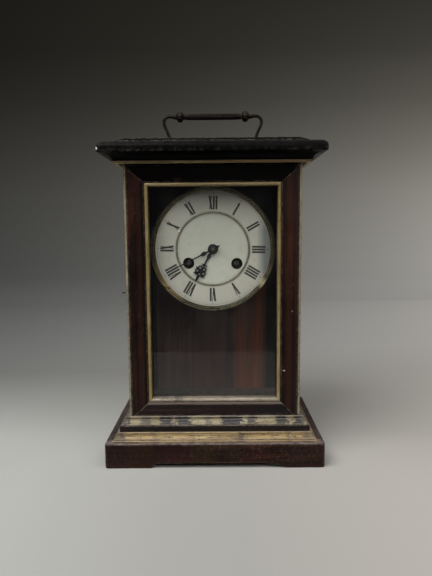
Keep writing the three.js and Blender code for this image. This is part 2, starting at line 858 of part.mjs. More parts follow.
// The hook hangs down from its screw; swung over the top by three quarters of a turn, it drops on
// the latch pin.
function latchHook() {
  const hook = new THREE.Shape();
  const half = hookWidth / 2;
  const throat = latchPinRadius + 0.5;
  const eye = half + 1.2;
  const shoulder = Math.sqrt(eye * eye - half * half);
  const eyeAngle = Math.atan2(half, shoulder);
  hook.moveTo(shoulder, -half);
  hook.lineTo(latchReach - throat, -half);
  hook.lineTo(latchReach - throat, 0);
  hook.absarc(latchReach, 0, throat, Math.PI, 0, true);
  hook.lineTo(latchReach + throat, -half);
  hook.lineTo(latchReach + throat + 1.4, -half);
  hook.lineTo(latchReach + throat + 1.4, half);
  hook.lineTo(shoulder, half);
  hook.absarc(0, 0, eye, eyeAngle, TURN - eyeAngle, false);
  const bore = new THREE.Path().absarc(0, 0, latchScrewRadius + runningGap, 0, TURN, true);
  hook.holes.push(bore);
  const settings = { depth: hookThickness, bevelEnabled: false, curveSegments: 6 };
  const flat = new THREE.ExtrudeGeometry(hook, settings);
  // Local x runs down and local y towards the front, so the notch opens towards the back.
  const turn = new THREE.Matrix4().makeBasis(
    new THREE.Vector3(0, 0, -1),
    new THREE.Vector3(0, -1, 0),
    new THREE.Vector3(1, 0, 0),
  );
  const hookX = -bodyHalfWidth - runningGap - hookThickness;
  return flat.applyMatrix4(turn).translate(hookX, latchPivotY, latchHeight);
}

function latchScrew() {
  const shank = hookThickness + 2 * runningGap;
  const profile = [
    [0, 0],
    [latchScrewRadius, 0],
    [latchScrewRadius, shank],
    [latchScrewRadius * 1.8, shank],
    [latchScrewRadius * 1.5, shank + 1],
    [0, shank + 1],
  ];
  return new THREE.LatheGeometry(profile.map(([r, y]) => new THREE.Vector2(r, y)), 12)
    .rotateZ(Math.PI / 2)
    .translate(-bodyHalfWidth, latchPivotY, latchHeight);
}

// ---------------------------------------------------------------- dial and movement frame

function hole(radius, centre, sides = 12) {
  return new THREE.Path().setFromPoints(
    Array.from({ length: sides }, (_, i) => polar(centre, radius, -i * TURN / sides)),
  );
}

function dialPlate() {
  const disc = new THREE.Shape().absarc(0, 0, dialRadius, 0, TURN);
  disc.holes.push(hole(windingHoleRadius, timeWinderAt, 20));
  disc.holes.push(hole(windingHoleRadius, strikeWinderAt, 20));
  disc.holes.push(hole(hourTubeOuter + runningGap, centreAt, 14));
  const face = sheet(disc, dialFaceY, dialFaceY + dialThickness, 36);
  const feet = [45, 135, 225, 315].map((degrees) => {
    const foot = polar(centreAt, dialFootCircle, degrees * Math.PI / 180);
    return rod(dialFootRadius, dialFaceY + dialThickness / 2, frontPlateY, foot, 8);
  });
  return join(face, ...feet);
}

function bezel() {
  const crest = bezelFrontY;
  const shoulder = bezelFrontY + bezelLip;
  const back = bezelFrontY + bezelThickness;
  return turned([
    [bezelSight, shoulder],
    [bezelSight, crest + 1.4],
    [bezelSight + 1.2, crest + 0.3],
    [bezelSight + 2.3, crest],
    [bezelRadius - 0.9, crest + 0.9],
    [bezelRadius, crest + 2.4],
    [bezelRadius, back],
    [dialRadius + seatGap, back],
    [dialRadius + seatGap, shoulder],
    [bezelSight, shoulder],
  ], centreAt, 48);
}

function plateOutline() {
  const w = plateHalfWidth;
  const c = plateChamfer;
  return outline([
    [-w + c, plateBottom], [w - c, plateBottom],
    [w, plateBottom + c], [w, plateTop - c],
    [w - c, plateTop], [-w + c, plateTop],
    [-w, plateTop - c], [-w, plateBottom + c],
  ]);
}

const trainPivots = [centreAt, intermediateAt, thirdAt, fourthAt, escapeAt, anchorAt, pinWheelAt, flyAt];
function frontPlate() {
  const shape = plateOutline();
  for (const pivot of trainPivots) shape.holes.push(hole(arborRadius + runningGap, pivot, 8));
  for (const winder of [timeWinderAt, strikeWinderAt]) {
    shape.holes.push(hole(winderRadius + runningGap, winder, 12));
  }
  const plate = sheet(shape, frontPlateY, trainFrontY);
  const stud = rod(minuteStudRadius, hourWheelY - 1, frontPlateY + 0.5, minuteWheelAt, 8);
  return join(plate, stud);
}

function backPlate() {
  const shape = plateOutline();
  for (const pivot of trainPivots) shape.holes.push(hole(arborRadius + runningGap, pivot, 8));
  shape.holes.push(hole(arborRadius + runningGap, hammerAt, 8));
  for (const winder of [timeWinderAt, strikeWinderAt]) {
    shape.holes.push(hole(arborRadius + runningGap, winder, 8));
  }
  const plate = sheet(shape, trainBackY, backPlateY);
  const pillars = [-1, 1].flatMap((side) => [pillarUpperZ, pillarLowerZ].map(
    (z) => rod(pillarRadius, trainFrontY, trainBackY + 0.5, at(side * pillarX, z), 10),
  ));
  const cock = block(
    [-cockHalfWidth, cockHalfWidth],
    [trainBackY + 0.5, pendulumY + 3],
    [anchorAt.y + cockAboveAxis, plateTop],
  );
  return join(plate, ...pillars, cock);
}

function movementBracket() {
  const top = plateBottom - seatGap;
  const half = bracketArmX + bracketArmWidth / 2 + 1;
  const flange = block(
    [-half, half],
    [innerBackY - bracketThickness, innerBackY],
    [top - bracketHeight, top],
  );
  const arms = [-1, 1].map((side) => {
    const x = [side * bracketArmX - bracketArmWidth / 2, side * bracketArmX + bracketArmWidth / 2];
    return block(x, [frontPlateY, innerBackY - 1], [top - bracketArmHeight, top]);
  });
  return join(flange, ...arms);
}

function gongBlock() {
  return rod(gongBlockRadius, gongY - 4, innerBackY, at(0, gongZ), 16);
}

// The gong is one rod wound as a flat spiral; its inner end meets the block.
function gongCurve() {
  const points = [];
  const steps = gongTurns * 24;
  const inner = gongBlockRadius + gongWireRadius + seatGap;
  for (let i = 0; i <= steps; i += 1) {
    const share = i / steps;
    const spot = polar(at(0, gongZ), inner + (gongOuterRadius - inner) * share, gongTurns * TURN * share);
    points.push(new THREE.Vector3(spot.x, gongY, spot.y));
  }
  return points;
}

function ribbonTube(points, radius, sides) {
  const positions = [];
  const faces = [];
  const depth = new THREE.Vector3(0, 1, 0);
  points.forEach((point, i) => {
    const ahead = points[Math.min(i + 1, points.length - 1)];
    const behind = points[Math.max(i - 1, 0)];
    const along = ahead.clone().sub(behind).normalize();
    const across = along.clone().cross(depth);
    for (let k = 0; k < sides; k += 1) {
      const angle = k * TURN / sides;
      const spot = point.clone()
        .addScaledVector(across, radius * Math.cos(angle))
        .addScaledVector(depth, radius * Math.sin(angle));
      positions.push(spot.x, spot.y, spot.z);
    }
    if (i === 0) return;
    for (let k = 0; k < sides; k += 1) {
      const a = (i - 1) * sides + k;
      const b = (i - 1) * sides + (k + 1) % sides;
      faces.push(a, b, b + sides, a, b + sides, a + sides);
    }
  });
  const last = (points.length - 1) * sides;
  for (let k = 1; k + 1 < sides; k += 1) {
    faces.push(0, k + 1, k, last, last + k, last + k + 1);
  }
  const geometry = new THREE.BufferGeometry();
  geometry.setAttribute('position', new THREE.Float32BufferAttribute(positions, 3));
  geometry.setIndex(faces);
  return geometry;
}

function leastSelfGap(points, radius, stepsPerTurn) {
  let least = Infinity;
  for (let i = 0; i < points.length; i += 1) {
    for (let j = i + stepsPerTurn / 2; j < points.length; j += 1) {
      least = Math.min(least, points[i].distanceTo(points[j]) - 2 * radius);
    }
  }
  return least;
}

function gongCoil() {
  const points = gongCurve();
  console.log(`gong: least gap to itself ${leastSelfGap(points, gongWireRadius, 24).toFixed(2)} mm`);
  return ribbonTube(points, gongWireRadius, 6);
}

// ---------------------------------------------------------------- hands and motion work

const cannonBore = centreTipRadius + runningGap;
const cannonOuter = cannonBore + pipeWall;
const hourTubeBore = cannonOuter + runningGap;
const hourTubeOuter = hourTubeBore + pipeWall;

// A hand pointing along +X of its own outline, turned to its clock angle.
function hand(shape, y, angle) {
  const flat = sheet(shape, y, y + handThickness, 6);
  return flat.rotateY(angle - Math.PI / 2);
}

function minuteHand() {
  const hub = minuteHubRadius;
  const bulge = hub + 6.5;
  const bulgeHalf = 3;
  const arm = new THREE.Shape();
  arm.moveTo(hub * 0.97, -1.1);
  arm.lineTo(bulge - bulgeHalf, -0.7);
  arm.lineTo(bulge, -1.7);
  arm.lineTo(bulge + bulgeHalf, -0.6);
  arm.lineTo(minuteHandLength, -0.25);
  arm.lineTo(minuteHandLength, 0.25);
  arm.lineTo(bulge + bulgeHalf, 0.6);
  arm.lineTo(bulge, 1.7);
  arm.lineTo(bulge - bulgeHalf, 0.7);
  arm.lineTo(hub * 0.97, 1.1);
  arm.absarc(0, 0, hub, 0.25, Math.PI - 0.35, false);
  arm.lineTo(-minuteTail, 0);
  arm.absarc(0, 0, hub, Math.PI + 0.35, TURN - 0.25, false);
  arm.holes.push(hole(cannonBore, centreAt, 8));
  return hand(arm, minuteHandY, minuteHandAngle);
}

function hourHand() {
  const hub = hourHubRadius;
  const ring = { at: ornamentAt, outer: ornamentRadius, inner: ornamentHole };
  const arm = new THREE.Shape();
  arm.moveTo(hub * 0.97, -1.3);
  arm.lineTo(ring.at - ring.outer * 0.98, -0.9);
  arm.absarc(ring.at, 0, ring.outer, Math.PI + 0.18, TURN - 0.12, false);
  arm.lineTo(hourHandLength, -0.3);
  arm.lineTo(hourHandLength, 0.3);
  arm.absarc(ring.at, 0, ring.outer, 0.12, Math.PI - 0.18, false);
  arm.lineTo(hub * 0.97, 1.3);
  arm.absarc(0, 0, hub, 0.26, TURN - 0.26, false);
  arm.holes.push(hole(hourTubeBore, centreAt, 10));
  arm.holes.push(hole(ring.inner, at(ring.at, 0), 10));
  return hand(arm, hourHandY, hourHandAngle);
}

function cannonPinion() {
  const pinion = gear(cannonTeeth, cannonModule, leafTooth, cannonPhase, minuteWheelY - 0.3, 2.2, centreAt);
  const pipe = rod(cannonOuter, minuteHandY + handThickness + 0.1, minuteWheelY + 1.9, centreAt, 12);
  const bore = rod(cannonBore, minuteHandY, frontPlateY, centreAt, 10);
  return cut(join(pinion, pipe), bore);
}

function hourWheel() {
  const wheel = gear(hourWheelTeeth, hourModule, wheelTooth, hourWheelPhase, hourWheelY, 1.2, centreAt);
  const pipe = rod(hourTubeOuter, hourHandY + handThickness + 0.1, hourWheelY + 1.2, centreAt, 12);
  const bore = rod(hourTubeBore, hourHandY - 1, frontPlateY, centreAt, 12);
  return cut(join(wheel, pipe), bore);
}

function minuteWheel() {
  const spot = minuteWheelAt;
  const wheel = gear(minuteWheelTeeth, cannonModule, wheelTooth, minuteWheelPhase, minuteWheelY, 1.2, spot);
  const pinionFront = hourWheelY - 0.4;
  const pinionWidth = minuteWheelY - hourWheelY + 0.6;
  const pinion = gear(
    hourPinionTeeth, hourModule, leafTooth, minuteWheelPhase, pinionFront, pinionWidth, spot,
  );
  const bore = rod(minuteStudRadius + runningGap, hourWheelY - 2, frontPlateY, spot, 10);
  return cut(join(wheel, pinion), bore);
}

// ---------------------------------------------------------------- trains

const arborFrontY = frontPlateY + 0.4;
const arborBackY = backPlateY - 0.4;

// An arbor with a wheel and a pinion on it.
function trainWheel(spot, phase, wheel, pinion) {
  const arbor = rod(arborRadius, arborFrontY, arborBackY, spot, 8);
  const wheelPhase = wheel.phase ?? phase;
  const rim = gear(wheel.teeth, wheel.module, wheelTooth, wheelPhase, wheel.y, wheelThickness, spot);
  const leaves = gear(pinion.teeth, pinion.module, leafTooth, phase, pinion.y, pinion.length, spot);
  return join(arbor, rim, leaves);
}

const pinionAt = (wheelY) => wheelY + wheelThickness / 2 - pinionLength / 2;

function intermediateWheel() {
  return trainWheel(
    intermediateAt,
    intermediatePhase,
    { teeth: intermediateTeeth, module: intermediateModule, y: intermediateWheelY },
    { teeth: greatPinionTeeth, module: greatModule, y: pinionAt(greatWheelY), length: pinionLength },
  );
}

function centreWheel() {
  const wheel = trainWheel(
    centreAt,
    centrePinionPhase,
    { teeth: centreTeeth, module: centreModule, y: centreWheelY },
    {
      teeth: centrePinionTeeth,
      module: intermediateModule,
      y: pinionAt(intermediateWheelY),
      length: pinionLength,
    },
  );
  return join(wheel, rod(centreTipRadius, minuteHandY - 1.5, arborFrontY + 1, centreAt, 8));
}

function thirdWheel() {
  return trainWheel(
    thirdAt,
    thirdPhase,
    { teeth: thirdTeeth, module: thirdModule, y: thirdWheelY },
    { teeth: thirdPinionTeeth, module: centreModule, y: centreWheelY - 0.4, length: wheelThickness + 0.8 },
  );
}

function fourthWheel() {
  return trainWheel(
    fourthAt,
    fourthPhase,
    { teeth: fourthTeeth, module: fourthModule, y: fourthWheelY },
    { teeth: fourthPinionTeeth, module: thirdModule, y: thirdWheelY - 0.4, length: wheelThickness + 0.8 },
  );
}

const escapePhase = 0;

function escapeWheel() {
  const step = TURN / escapeTeeth;
  const points = [];
  for (let i = 0; i < escapeTeeth; i += 1) {
    const middle = escapePhase + i * step;
    points.push(polar(centreAt, escapeRadius - escapeToothDepth, middle - 0.3 * step));
    points.push(polar(centreAt, escapeRadius, middle - 0.03 * step));
    points.push(polar(centreAt, escapeRadius, middle + 0.03 * step));
    points.push(polar(centreAt, escapeRadius - escapeToothDepth, middle + 0.12 * step));
  }
  const rim = sheet(new THREE.Shape(points), escapeWheelY, escapeWheelY + wheelThickness);
  const arbor = rod(arborRadius, arborFrontY, arborBackY, escapeAt, 8);
  const leavesFront = fourthWheelY - 0.4;
  const leavesWidth = wheelThickness + 0.8;
  const leaves = gear(
    escapePinionTeeth, fourthModule, leafTooth, escapePinionPhase, leavesFront, leavesWidth, escapeAt,
  );
  return join(rim.translate(escapeAt.x, 0, escapeAt.y), arbor, leaves);
}

function barrel(winder) {
  const front = drumFrontY;
  const bore = winderRadius + runningGap;
  const drum = turned([
    [drumRadius - drumWall, front],
    [drumRadius, front],
    [drumRadius, greatWheelY + 0.5],
    [bore, greatWheelY + 0.5],
    [bore, greatWheelY - drumWall],
    [drumRadius - drumWall, greatWheelY - drumWall],
    [drumRadius - drumWall, front],
  ], winder, 32);
  const teeth = gear(greatTeeth, greatModule, wheelTooth, greatPhase, greatWheelY, wheelThickness, winder);
  return join(drum, cut(teeth, rod(bore, greatWheelY - 1, greatWheelY + 3, winder, 16)));
}

// A mainspring: a flat spiral strip between the winding arbor and the drum wall.
function mainspring(winder) {
  const inner = winderRadius + runningGap + 1;
  const outer = drumRadius - drumWall - springThickness - seatGap;
  const steps = springTurns * 16;
  const edge = (offset) => Array.from({ length: steps + 1 }, (_, i) => {
    const share = i / steps;
    return polar(centreAt, inner + (outer - inner) * share + offset, springTurns * TURN * share);
  });
  const strip = new THREE.Shape([...edge(0), ...edge(springThickness).reverse()]);
  const length = [drumFrontY + 1, greatWheelY - drumWall - seatGap];
  return sheet(strip, length[0], length[1]).translate(winder.x, 0, winder.y);
}

function windingArbor(winder) {
  const tip = dialFaceY + winderSetBack;
  const squareBack = frontPlateY - 3;
  const half = winderSquare / 2;
  const square = block(
    [winder.x - half, winder.x + half],
    [tip, squareBack + 0.5],
    [winder.y - half, winder.y + half],
  );
  const body = rod(winderRadius, squareBack, greatWheelY + wheelThickness + 1, winder, 14);
  const pivot = rod(arborRadius, greatWheelY + wheelThickness, arborBackY, winder, 8);
  return join(square, body, pivot);
}

function pinWheel() {
  const wheel = trainWheel(
    pinWheelAt,
    pinWheelPhase,
    { teeth: pinWheelTeeth, module: pinWheelModule, y: intermediateWheelY },
    { teeth: greatPinionTeeth, module: greatModule, y: pinionAt(greatWheelY), length: pinionLength },
  );
  const pins = Array.from({ length: pinCount }, (_, i) => {
    const spot = polar(pinWheelAt, pinCircle, i * TURN / pinCount);
    const pinTip = intermediateWheelY + wheelThickness + 1.6;
    return rod(liftingPinRadius, intermediateWheelY + 1, pinTip, spot, 6);
  });
  return join(wheel, ...pins);
}

function fly() {
  const reach = flyReach;
  const arbor = rod(arborRadius, arborFrontY, arborBackY, flyAt, 8);
  const blade = block(
    [flyAt.x - reach, flyAt.x + reach],
    [drumFrontY, drumFrontY + flyLength],
    [flyAt.y - 0.4, flyAt.y + 0.4],
  );
  const leavesFront = intermediateWheelY - 0.4;
  const leavesWidth = wheelThickness + 0.8;
  const leaves = gear(
    flyPinionTeeth, pinWheelModule, leafTooth, flyPhase, leavesFront, leavesWidth, flyAt,
  );
  return join(arbor, blade, leaves);
}

function hammer() {
  const reachX = -gongOuterRadius - gongWireRadius - hammerClearance;
  const headX = reachX - hammerHeadLength / 2;
  const head = new THREE.CylinderGeometry(hammerHeadRadius, hammerHeadRadius, hammerHeadLength, 12)
    .rotateZ(Math.PI / 2)
    .translate(headX, gongY, gongZ);
  const arbor = rod(arborRadius, trainBackY - 3, gongY + 1, hammerAt, 8);
  const head2d = at(headX, gongZ);
  const armLength = head2d.distanceTo(hammerAt);
  const arm = block([0, armLength], [gongY - 1, gongY + 1], [-1, 1])
    .rotateY(-direction(hammerAt, head2d))
    .translate(hammerAt.x, 0, hammerAt.y);
  const tailLength = pinWheelAt.distanceTo(hammerAt) - pinCircle - liftingPinRadius - 2 * seatGap;
  const tail = block([0, tailLength], [trainBackY - 2.2, trainBackY - 0.8], [-0.8, 0.8])
    .rotateY(-direction(hammerAt, pinWheelAt))
    .translate(hammerAt.x, 0, hammerAt.y);
  return join(head, arbor, arm, tail);
}

// ---------------------------------------------------------------- escapement and pendulum

// These hang upright although the movement is slightly turned, so they stand outside its group.
const pendulumAt = polar(at(dialX, dialHeight), anchorAt.length(), Math.PI / 2 - dialTwist);
function palletAnchor() {
  const drop = escapeRadius / Math.cos(palletHalfAngle);
  const palletX = escapeRadius * Math.sin(palletHalfAngle);
  const palletZ = -drop + escapeRadius * Math.cos(palletHalfAngle);
  // The pallets dip by this much at the end of the swing and still clear the tips of the teeth.
  const lift = palletX / Math.cos(palletHalfAngle) * Math.sin(pendulumSwing) + palletClearance;
  const tipX = palletX + lift * Math.sin(palletHalfAngle);
  const tipZ = palletZ + lift * Math.cos(palletHalfAngle);
  const tip = 0.22;
  const arms = outline([
    [0, 2.2],
    [-tipX - 2.4, tipZ + 2.6],
    [-tipX - tip, tipZ + 0.4],
    [-tipX - tip, tipZ],
    [-tipX + tip, tipZ],
    [-tipX + tip, tipZ + 0.4],
    [-tipX + 1, tipZ + 3],
    [0, -1.8],
    [tipX - 1, tipZ + 3],
    [tipX - tip, tipZ + 0.4],
    [tipX - tip, tipZ],
    [tipX + tip, tipZ],
    [tipX + tip, tipZ + 0.4],
    [tipX + 2.4, tipZ + 2.6],
  ]);
  const body = sheet(arms, escapeWheelY - 0.2, escapeWheelY + wheelThickness + 0.2);
  const arbor = rod(arborRadius, arborFrontY, backPlateY + 3.6, centreAt, 8);
  const crutch = block([-1, 1], [backPlateY + 2, backPlateY + 3.2], [-crutchLength, 0.6]);
  const prong = (side) => {
    const inner = side * (rodRadius + 0.4);
    const outer = inner + side;
    return block(
      [Math.min(inner, outer), Math.max(inner, outer)],
      [backPlateY + 2, pendulumY + 2],
      [-crutchLength - 1, -crutchLength + 1],
    );
  };
  const fork = block(
    [-rodRadius - 1.4, rodRadius + 1.4],
    [backPlateY + 2, backPlateY + 3.2],
    [-crutchLength - 1, -crutchLength + 1],
  );
  return join(body, arbor, crutch, fork, prong(-1), prong(1)).translate(pendulumAt.x, 0, pendulumAt.y);
}

const bobBore = rodRadius + seatGap;

function pendulumRod() {
  const strip = block(
    [-suspensionHalfWidth, suspensionHalfWidth],
    [pendulumY - 0.2, pendulumY + 0.2],
    [-suspensionLength, cockAboveAxis - seatGap],
  );
  const bottom = -pendulumLength - bobRadius - 3;
  const stem = new THREE.CylinderGeometry(rodRadius, rodRadius, -suspensionLength + 1 - bottom, 10)
    .rotateX(Math.PI / 2)
    .translate(0, pendulumY, (bottom - suspensionLength + 1) / 2);
  const nut = new THREE.CylinderGeometry(3, 3, 1.8, 12)
    .rotateX(Math.PI / 2)
    .translate(0, pendulumY, -pendulumLength - bobRadius - seatGap - 0.9);
  return join(strip, stem, nut).translate(pendulumAt.x, 0, pendulumAt.y);
}

function pendulumBob() {
  const half = bobThickness / 2;
  const disc = turned([
    [0, pendulumY - half],
    [bobRadius * 0.55, pendulumY - half * 0.85],
    [bobRadius, pendulumY - half * 0.2],
    [bobRadius, pendulumY + half * 0.2],
    [bobRadius * 0.55, pendulumY + half * 0.85],
    [0, pendulumY + half],
  ], centreAt, 24);
  const bore = new THREE.CylinderGeometry(bobBore, bobBore, 4 * bobRadius, 10)
    .rotateX(Math.PI / 2)
    .translate(0, pendulumY, 0);
  return cut(disc, bore).translate(pendulumAt.x, 0, pendulumAt.y - pendulumLength);
}

// ---------------------------------------------------------------- the clock

const clock = new THREE.Group();
const movement = new THREE.Group();
movement.position.set(dialX, 0, dialHeight);
movement.rotation.y = dialTwist;
clock.add(movement);

function add(group, name, geometry, look) {
  const mesh = new THREE.Mesh(clean(geometry), new THREE.MeshStandardMaterial(look));
  mesh.name = name;
  group.add(mesh);
}

add(clock, 'plinth_front', plinthFront(), mahogany);
add(clock, 'plinth_left', plinthSide(-1), mahogany);
add(clock, 'plinth_right', plinthSide(1), mahogany);
add(clock, 'plinth_back', plinthBack(), mahogany);
add(clock, 'base_moulding_lower', baseMouldingLower(), gilt);
add(clock, 'case_floor', caseFloor(), ebony);
add(clock, 'base_moulding_upper', baseMouldingUpper(), gilt);
add(clock, 'case_side_left', caseSide(-1), mahogany);
add(clock, 'case_side_right', caseSide(1), mahogany);
add(clock, 'back_board', backBoard(), pine);
add(clock, 'cornice', cornice(), ebony);
add(clock, 'cornice_bead', corniceBead(), gilt);
add(clock, 'crown_board', crownBoard(), ebony);

add(clock, 'handle_grip', handleGrip(), bronze);
add(clock, 'handle_knob_left', handleKnob(-1), bronze);
add(clock, 'handle_knob_right', handleKnob(1), bronze);
add(clock, 'handle_arm_left', handleArm(-1), bronze);
add(clock, 'handle_arm_right', handleArm(1), bronze);

add(clock, 'door_stile_left', doorStile(-1), mahogany);
add(clock, 'door_stile_right', doorStile(1), mahogany);
add(clock, 'door_rail_top', doorRail(true), mahogany);
add(clock, 'door_rail_bottom', doorRail(false), mahogany);
add(clock, 'door_bead_left', doorBead(-1), gilt);
add(clock, 'door_bead_right', doorBead(1), gilt);
add(clock, 'sight_bead', sightBead(), gilt);
add(clock, 'door_glass', doorGlass(), glassy);
add(clock, 'hinge_pin_upper', hingePin(true), brass);
add(clock, 'hinge_pin_lower', hingePin(false), brass);
add(clock, 'latch_pin', latchPin(), brass);
add(clock, 'latch_hook', latchHook(), brass);
add(clock, 'latch_screw', latchScrew(), brass);

add(clock, 'pallet_anchor', palletAnchor(), steel);
add(clock, 'pendulum_rod', pendulumRod(), steel);
add(clock, 'pendulum_bob', pendulumBob(), brass);

add(movement, 'movement_bracket', movementBracket(), steel);
add(movement, 'gong_block', gongBlock(), steel);
add(movement, 'gong_coil', gongCoil(), blued);
add(movement, 'front_plate', frontPlate(), brass);
add(movement, 'back_plate', backPlate(), brass);
add(movement, 'dial_plate', dialPlate(), silvered);
add(movement, 'bezel', bezel(), brass);
add(movement, 'hour_hand', hourHand(), blued);
add(movement, 'minute_hand', minuteHand(), blued);
add(movement, 'cannon_pinion', cannonPinion(), steel);
add(movement, 'hour_wheel', hourWheel(), brass);
add(movement, 'minute_wheel', minuteWheel(), brass);
add(movement, 'time_barrel', barrel(timeWinderAt), brass);
add(movement, 'time_mainspring', mainspring(timeWinderAt), steel);
add(movement, 'time_winding_arbor', windingArbor(timeWinderAt), steel);
add(movement, 'intermediate_wheel', intermediateWheel(), brass);
add(movement, 'centre_wheel', centreWheel(), brass);
add(movement, 'third_wheel', thirdWheel(), brass);
add(movement, 'fourth_wheel', fourthWheel(), brass);
add(movement, 'escape_wheel', escapeWheel(), brass);
add(movement, 'strike_barrel', barrel(strikeWinderAt), brass);
add(movement, 'strike_mainspring', mainspring(strikeWinderAt), steel);
add(movement, 'strike_winding_arbor', windingArbor(strikeWinderAt), steel);
add(movement, 'pin_wheel', pinWheel(), brass);
add(movement, 'fly', fly(), brass);
add(movement, 'hammer', hammer(), steel);

export default clock;
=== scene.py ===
import math

import bmesh
import bpy
from mathutils import Matrix, Vector, noise


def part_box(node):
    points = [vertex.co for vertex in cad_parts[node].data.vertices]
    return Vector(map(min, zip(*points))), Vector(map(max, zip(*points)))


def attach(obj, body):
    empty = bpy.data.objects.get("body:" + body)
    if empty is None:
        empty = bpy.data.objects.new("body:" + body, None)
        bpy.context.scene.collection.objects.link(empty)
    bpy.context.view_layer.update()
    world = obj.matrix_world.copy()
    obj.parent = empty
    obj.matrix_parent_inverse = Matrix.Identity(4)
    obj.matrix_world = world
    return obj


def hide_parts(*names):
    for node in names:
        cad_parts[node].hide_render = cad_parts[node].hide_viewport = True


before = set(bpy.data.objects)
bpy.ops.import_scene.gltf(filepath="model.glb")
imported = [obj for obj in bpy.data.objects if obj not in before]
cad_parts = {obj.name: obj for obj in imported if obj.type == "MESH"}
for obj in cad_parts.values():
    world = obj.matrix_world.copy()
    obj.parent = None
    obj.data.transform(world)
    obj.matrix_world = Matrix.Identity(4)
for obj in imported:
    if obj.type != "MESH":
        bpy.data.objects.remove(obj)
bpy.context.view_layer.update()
MM = 0.001


def linked(name, data):
    obj = bpy.data.objects.new(name, data)
    bpy.context.scene.collection.objects.link(obj)
    return obj


# ------------------------------------------------------------------ camera, fitted to the edges of the case

FOCAL_PIXELS, PHOTO_HEIGHT = 489.108, 576.0
SENSOR_HEIGHT, SENSOR_WIDTH = 36.0, 27.0
CAMERA_RIGHT = (0.9999533, 0.0051705, -0.0081692)
CAMERA_UP = (0.0075185, 0.1153201, 0.9932999)
CAMERA_AHEAD = (-0.0060779, 0.9933149, -0.1152759)
CAMERA_PLACE = (0.005953, -0.585472, 0.257769)

camera = linked("camera", bpy.data.cameras.new("camera"))
bpy.context.scene.camera = camera
camera.data.sensor_fit = "VERTICAL"
camera.data.sensor_height = SENSOR_HEIGHT
camera.data.sensor_width = SENSOR_WIDTH
camera.data.lens = FOCAL_PIXELS * SENSOR_HEIGHT / PHOTO_HEIGHT
camera.data.clip_start = 0.01
camera.matrix_world = Matrix([
    *((right, up, -ahead, place)
      for right, up, ahead, place in zip(CAMERA_RIGHT, CAMERA_UP, CAMERA_AHEAD, CAMERA_PLACE)),
    (0, 0, 0, 1),
])

# ------------------------------------------------------------------ sizes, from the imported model, in millimetres


def node_box(name):
    low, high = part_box(name)
    return [v / MM for v in low], [v / MM for v in high]
def span(name, axis):
    """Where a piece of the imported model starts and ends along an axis."""
    low, high = node_box(name)
    return low[axis], high[axis]


def middle(name, axis):
    return sum(span(name, axis)) / 2


door_low, door_high = node_box("door_stile_left")
BODY = -door_low[0]                       # half width of the body
FRONT = door_low[1]                       # the door's front face
DOOR_BACK = door_high[1]
DOOR_BOTTOM = door_low[2]
DOOR_TOP = door_high[2]
SIGHT = -door_high[0]                     # half width of the opening in the door
SIGHT_BOTTOM = span("door_rail_bottom", 2)[1]
SIGHT_TOP = span("door_rail_top", 2)[0]
BACK = span("back_board", 1)[1]
PLINTH_TOP = span("plinth_left", 2)[1]
FLOOR_BOTTOM, FLOOR_TOP = span("case_floor", 2)
BASE_TOP = span("base_moulding_upper", 2)[1]
CORNICE_BOTTOM, CORNICE_TOP = span("cornice", 2)
CROWN_TOP = span("crown_board", 2)[1]
OVERHANG = FRONT - span("plinth_front", 1)[0]
BEZEL_FRONT = span("bezel", 1)[0]
DIAL_FACE = span("dial_plate", 1)[0]
GLASS_FRONT = span("door_glass", 1)[0]
DIAL_X, DIAL_Z = -0.65, 237.6             # the dial's centre
TWIST = math.radians(0.95)                # how far the dial and its hands are turned in the case
HANDLE_Y, HANDLE_Z = middle("handle_grip", 1), middle("handle_grip", 2)

# ------------------------------------------------------------------ mesh helpers

def wobble(x, y, z, scale):
    return noise.noise(Vector((x, y, z)) * scale)


def scaled(values, factor):
    return tuple(v * factor for v in values)


def moved(values, distance):
    return tuple(v + distance for v in values)


def new_object(name, points, faces, wear=None, smooth=True, sharp=40):
    mesh = bpy.data.meshes.new(name)
    mesh.from_pydata([scaled(p, MM) for p in points], [], faces)
    mesh.validate()
    if wear is not None:
        layer = mesh.attributes.new("wear", "FLOAT", "POINT")
        layer.data.foreach_set("value", [float(w) for w in wear])
    bm = bmesh.new()
    bm.from_mesh(mesh)
    bmesh.ops.recalc_face_normals(bm, faces=bm.faces)
    limit = math.radians(sharp)
    for edge in bm.edges:
        edge.smooth = not (len(edge.link_faces) == 2 and edge.calc_face_angle(0) > limit)
    for face in bm.faces:
        face.smooth = smooth
    bm.to_mesh(mesh)
    bm.free()
    return linked(name, mesh)


def dress(obj, body, material, slot, *nodes):
    obj.data.materials.clear()
    obj.data.materials.append(material)
    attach(obj, body)
    if nodes:
        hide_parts(*nodes)
    return obj
def paint(node, material):
    """Gives a piece that is shown as the CAD made it its material."""
    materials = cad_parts[node].data.materials
    materials.clear()
    materials.append(material)

def stations(start, end, step):
    count = max(1, round(abs(end - start) / step))
    return [start + (end - start) * i / count for i in range(count + 1)]


def loft(rings, wears, closed_ring=True, closed_path=False, caps=True):
    """Joins rings of points, all with the same count, into one skin."""
    size = len(rings[0])
    points = [p for ring in rings for p in ring]
    wear = [w for ring in wears for w in ring]
    faces = []
    spans = len(rings) if closed_path else len(rings) - 1
    for s in range(spans):
        here, there = s * size, ((s + 1) % len(rings)) * size
        for i in range(size if closed_ring else size - 1):
            j = (i + 1) % size
            faces.append((here + i, here + j, there + j, there + i))
    if caps and not closed_path:
        faces.append(tuple(reversed(range(size))))
        faces.append(tuple(range((len(rings) - 1) * size, len(rings) * size)))
    return points, faces, wear


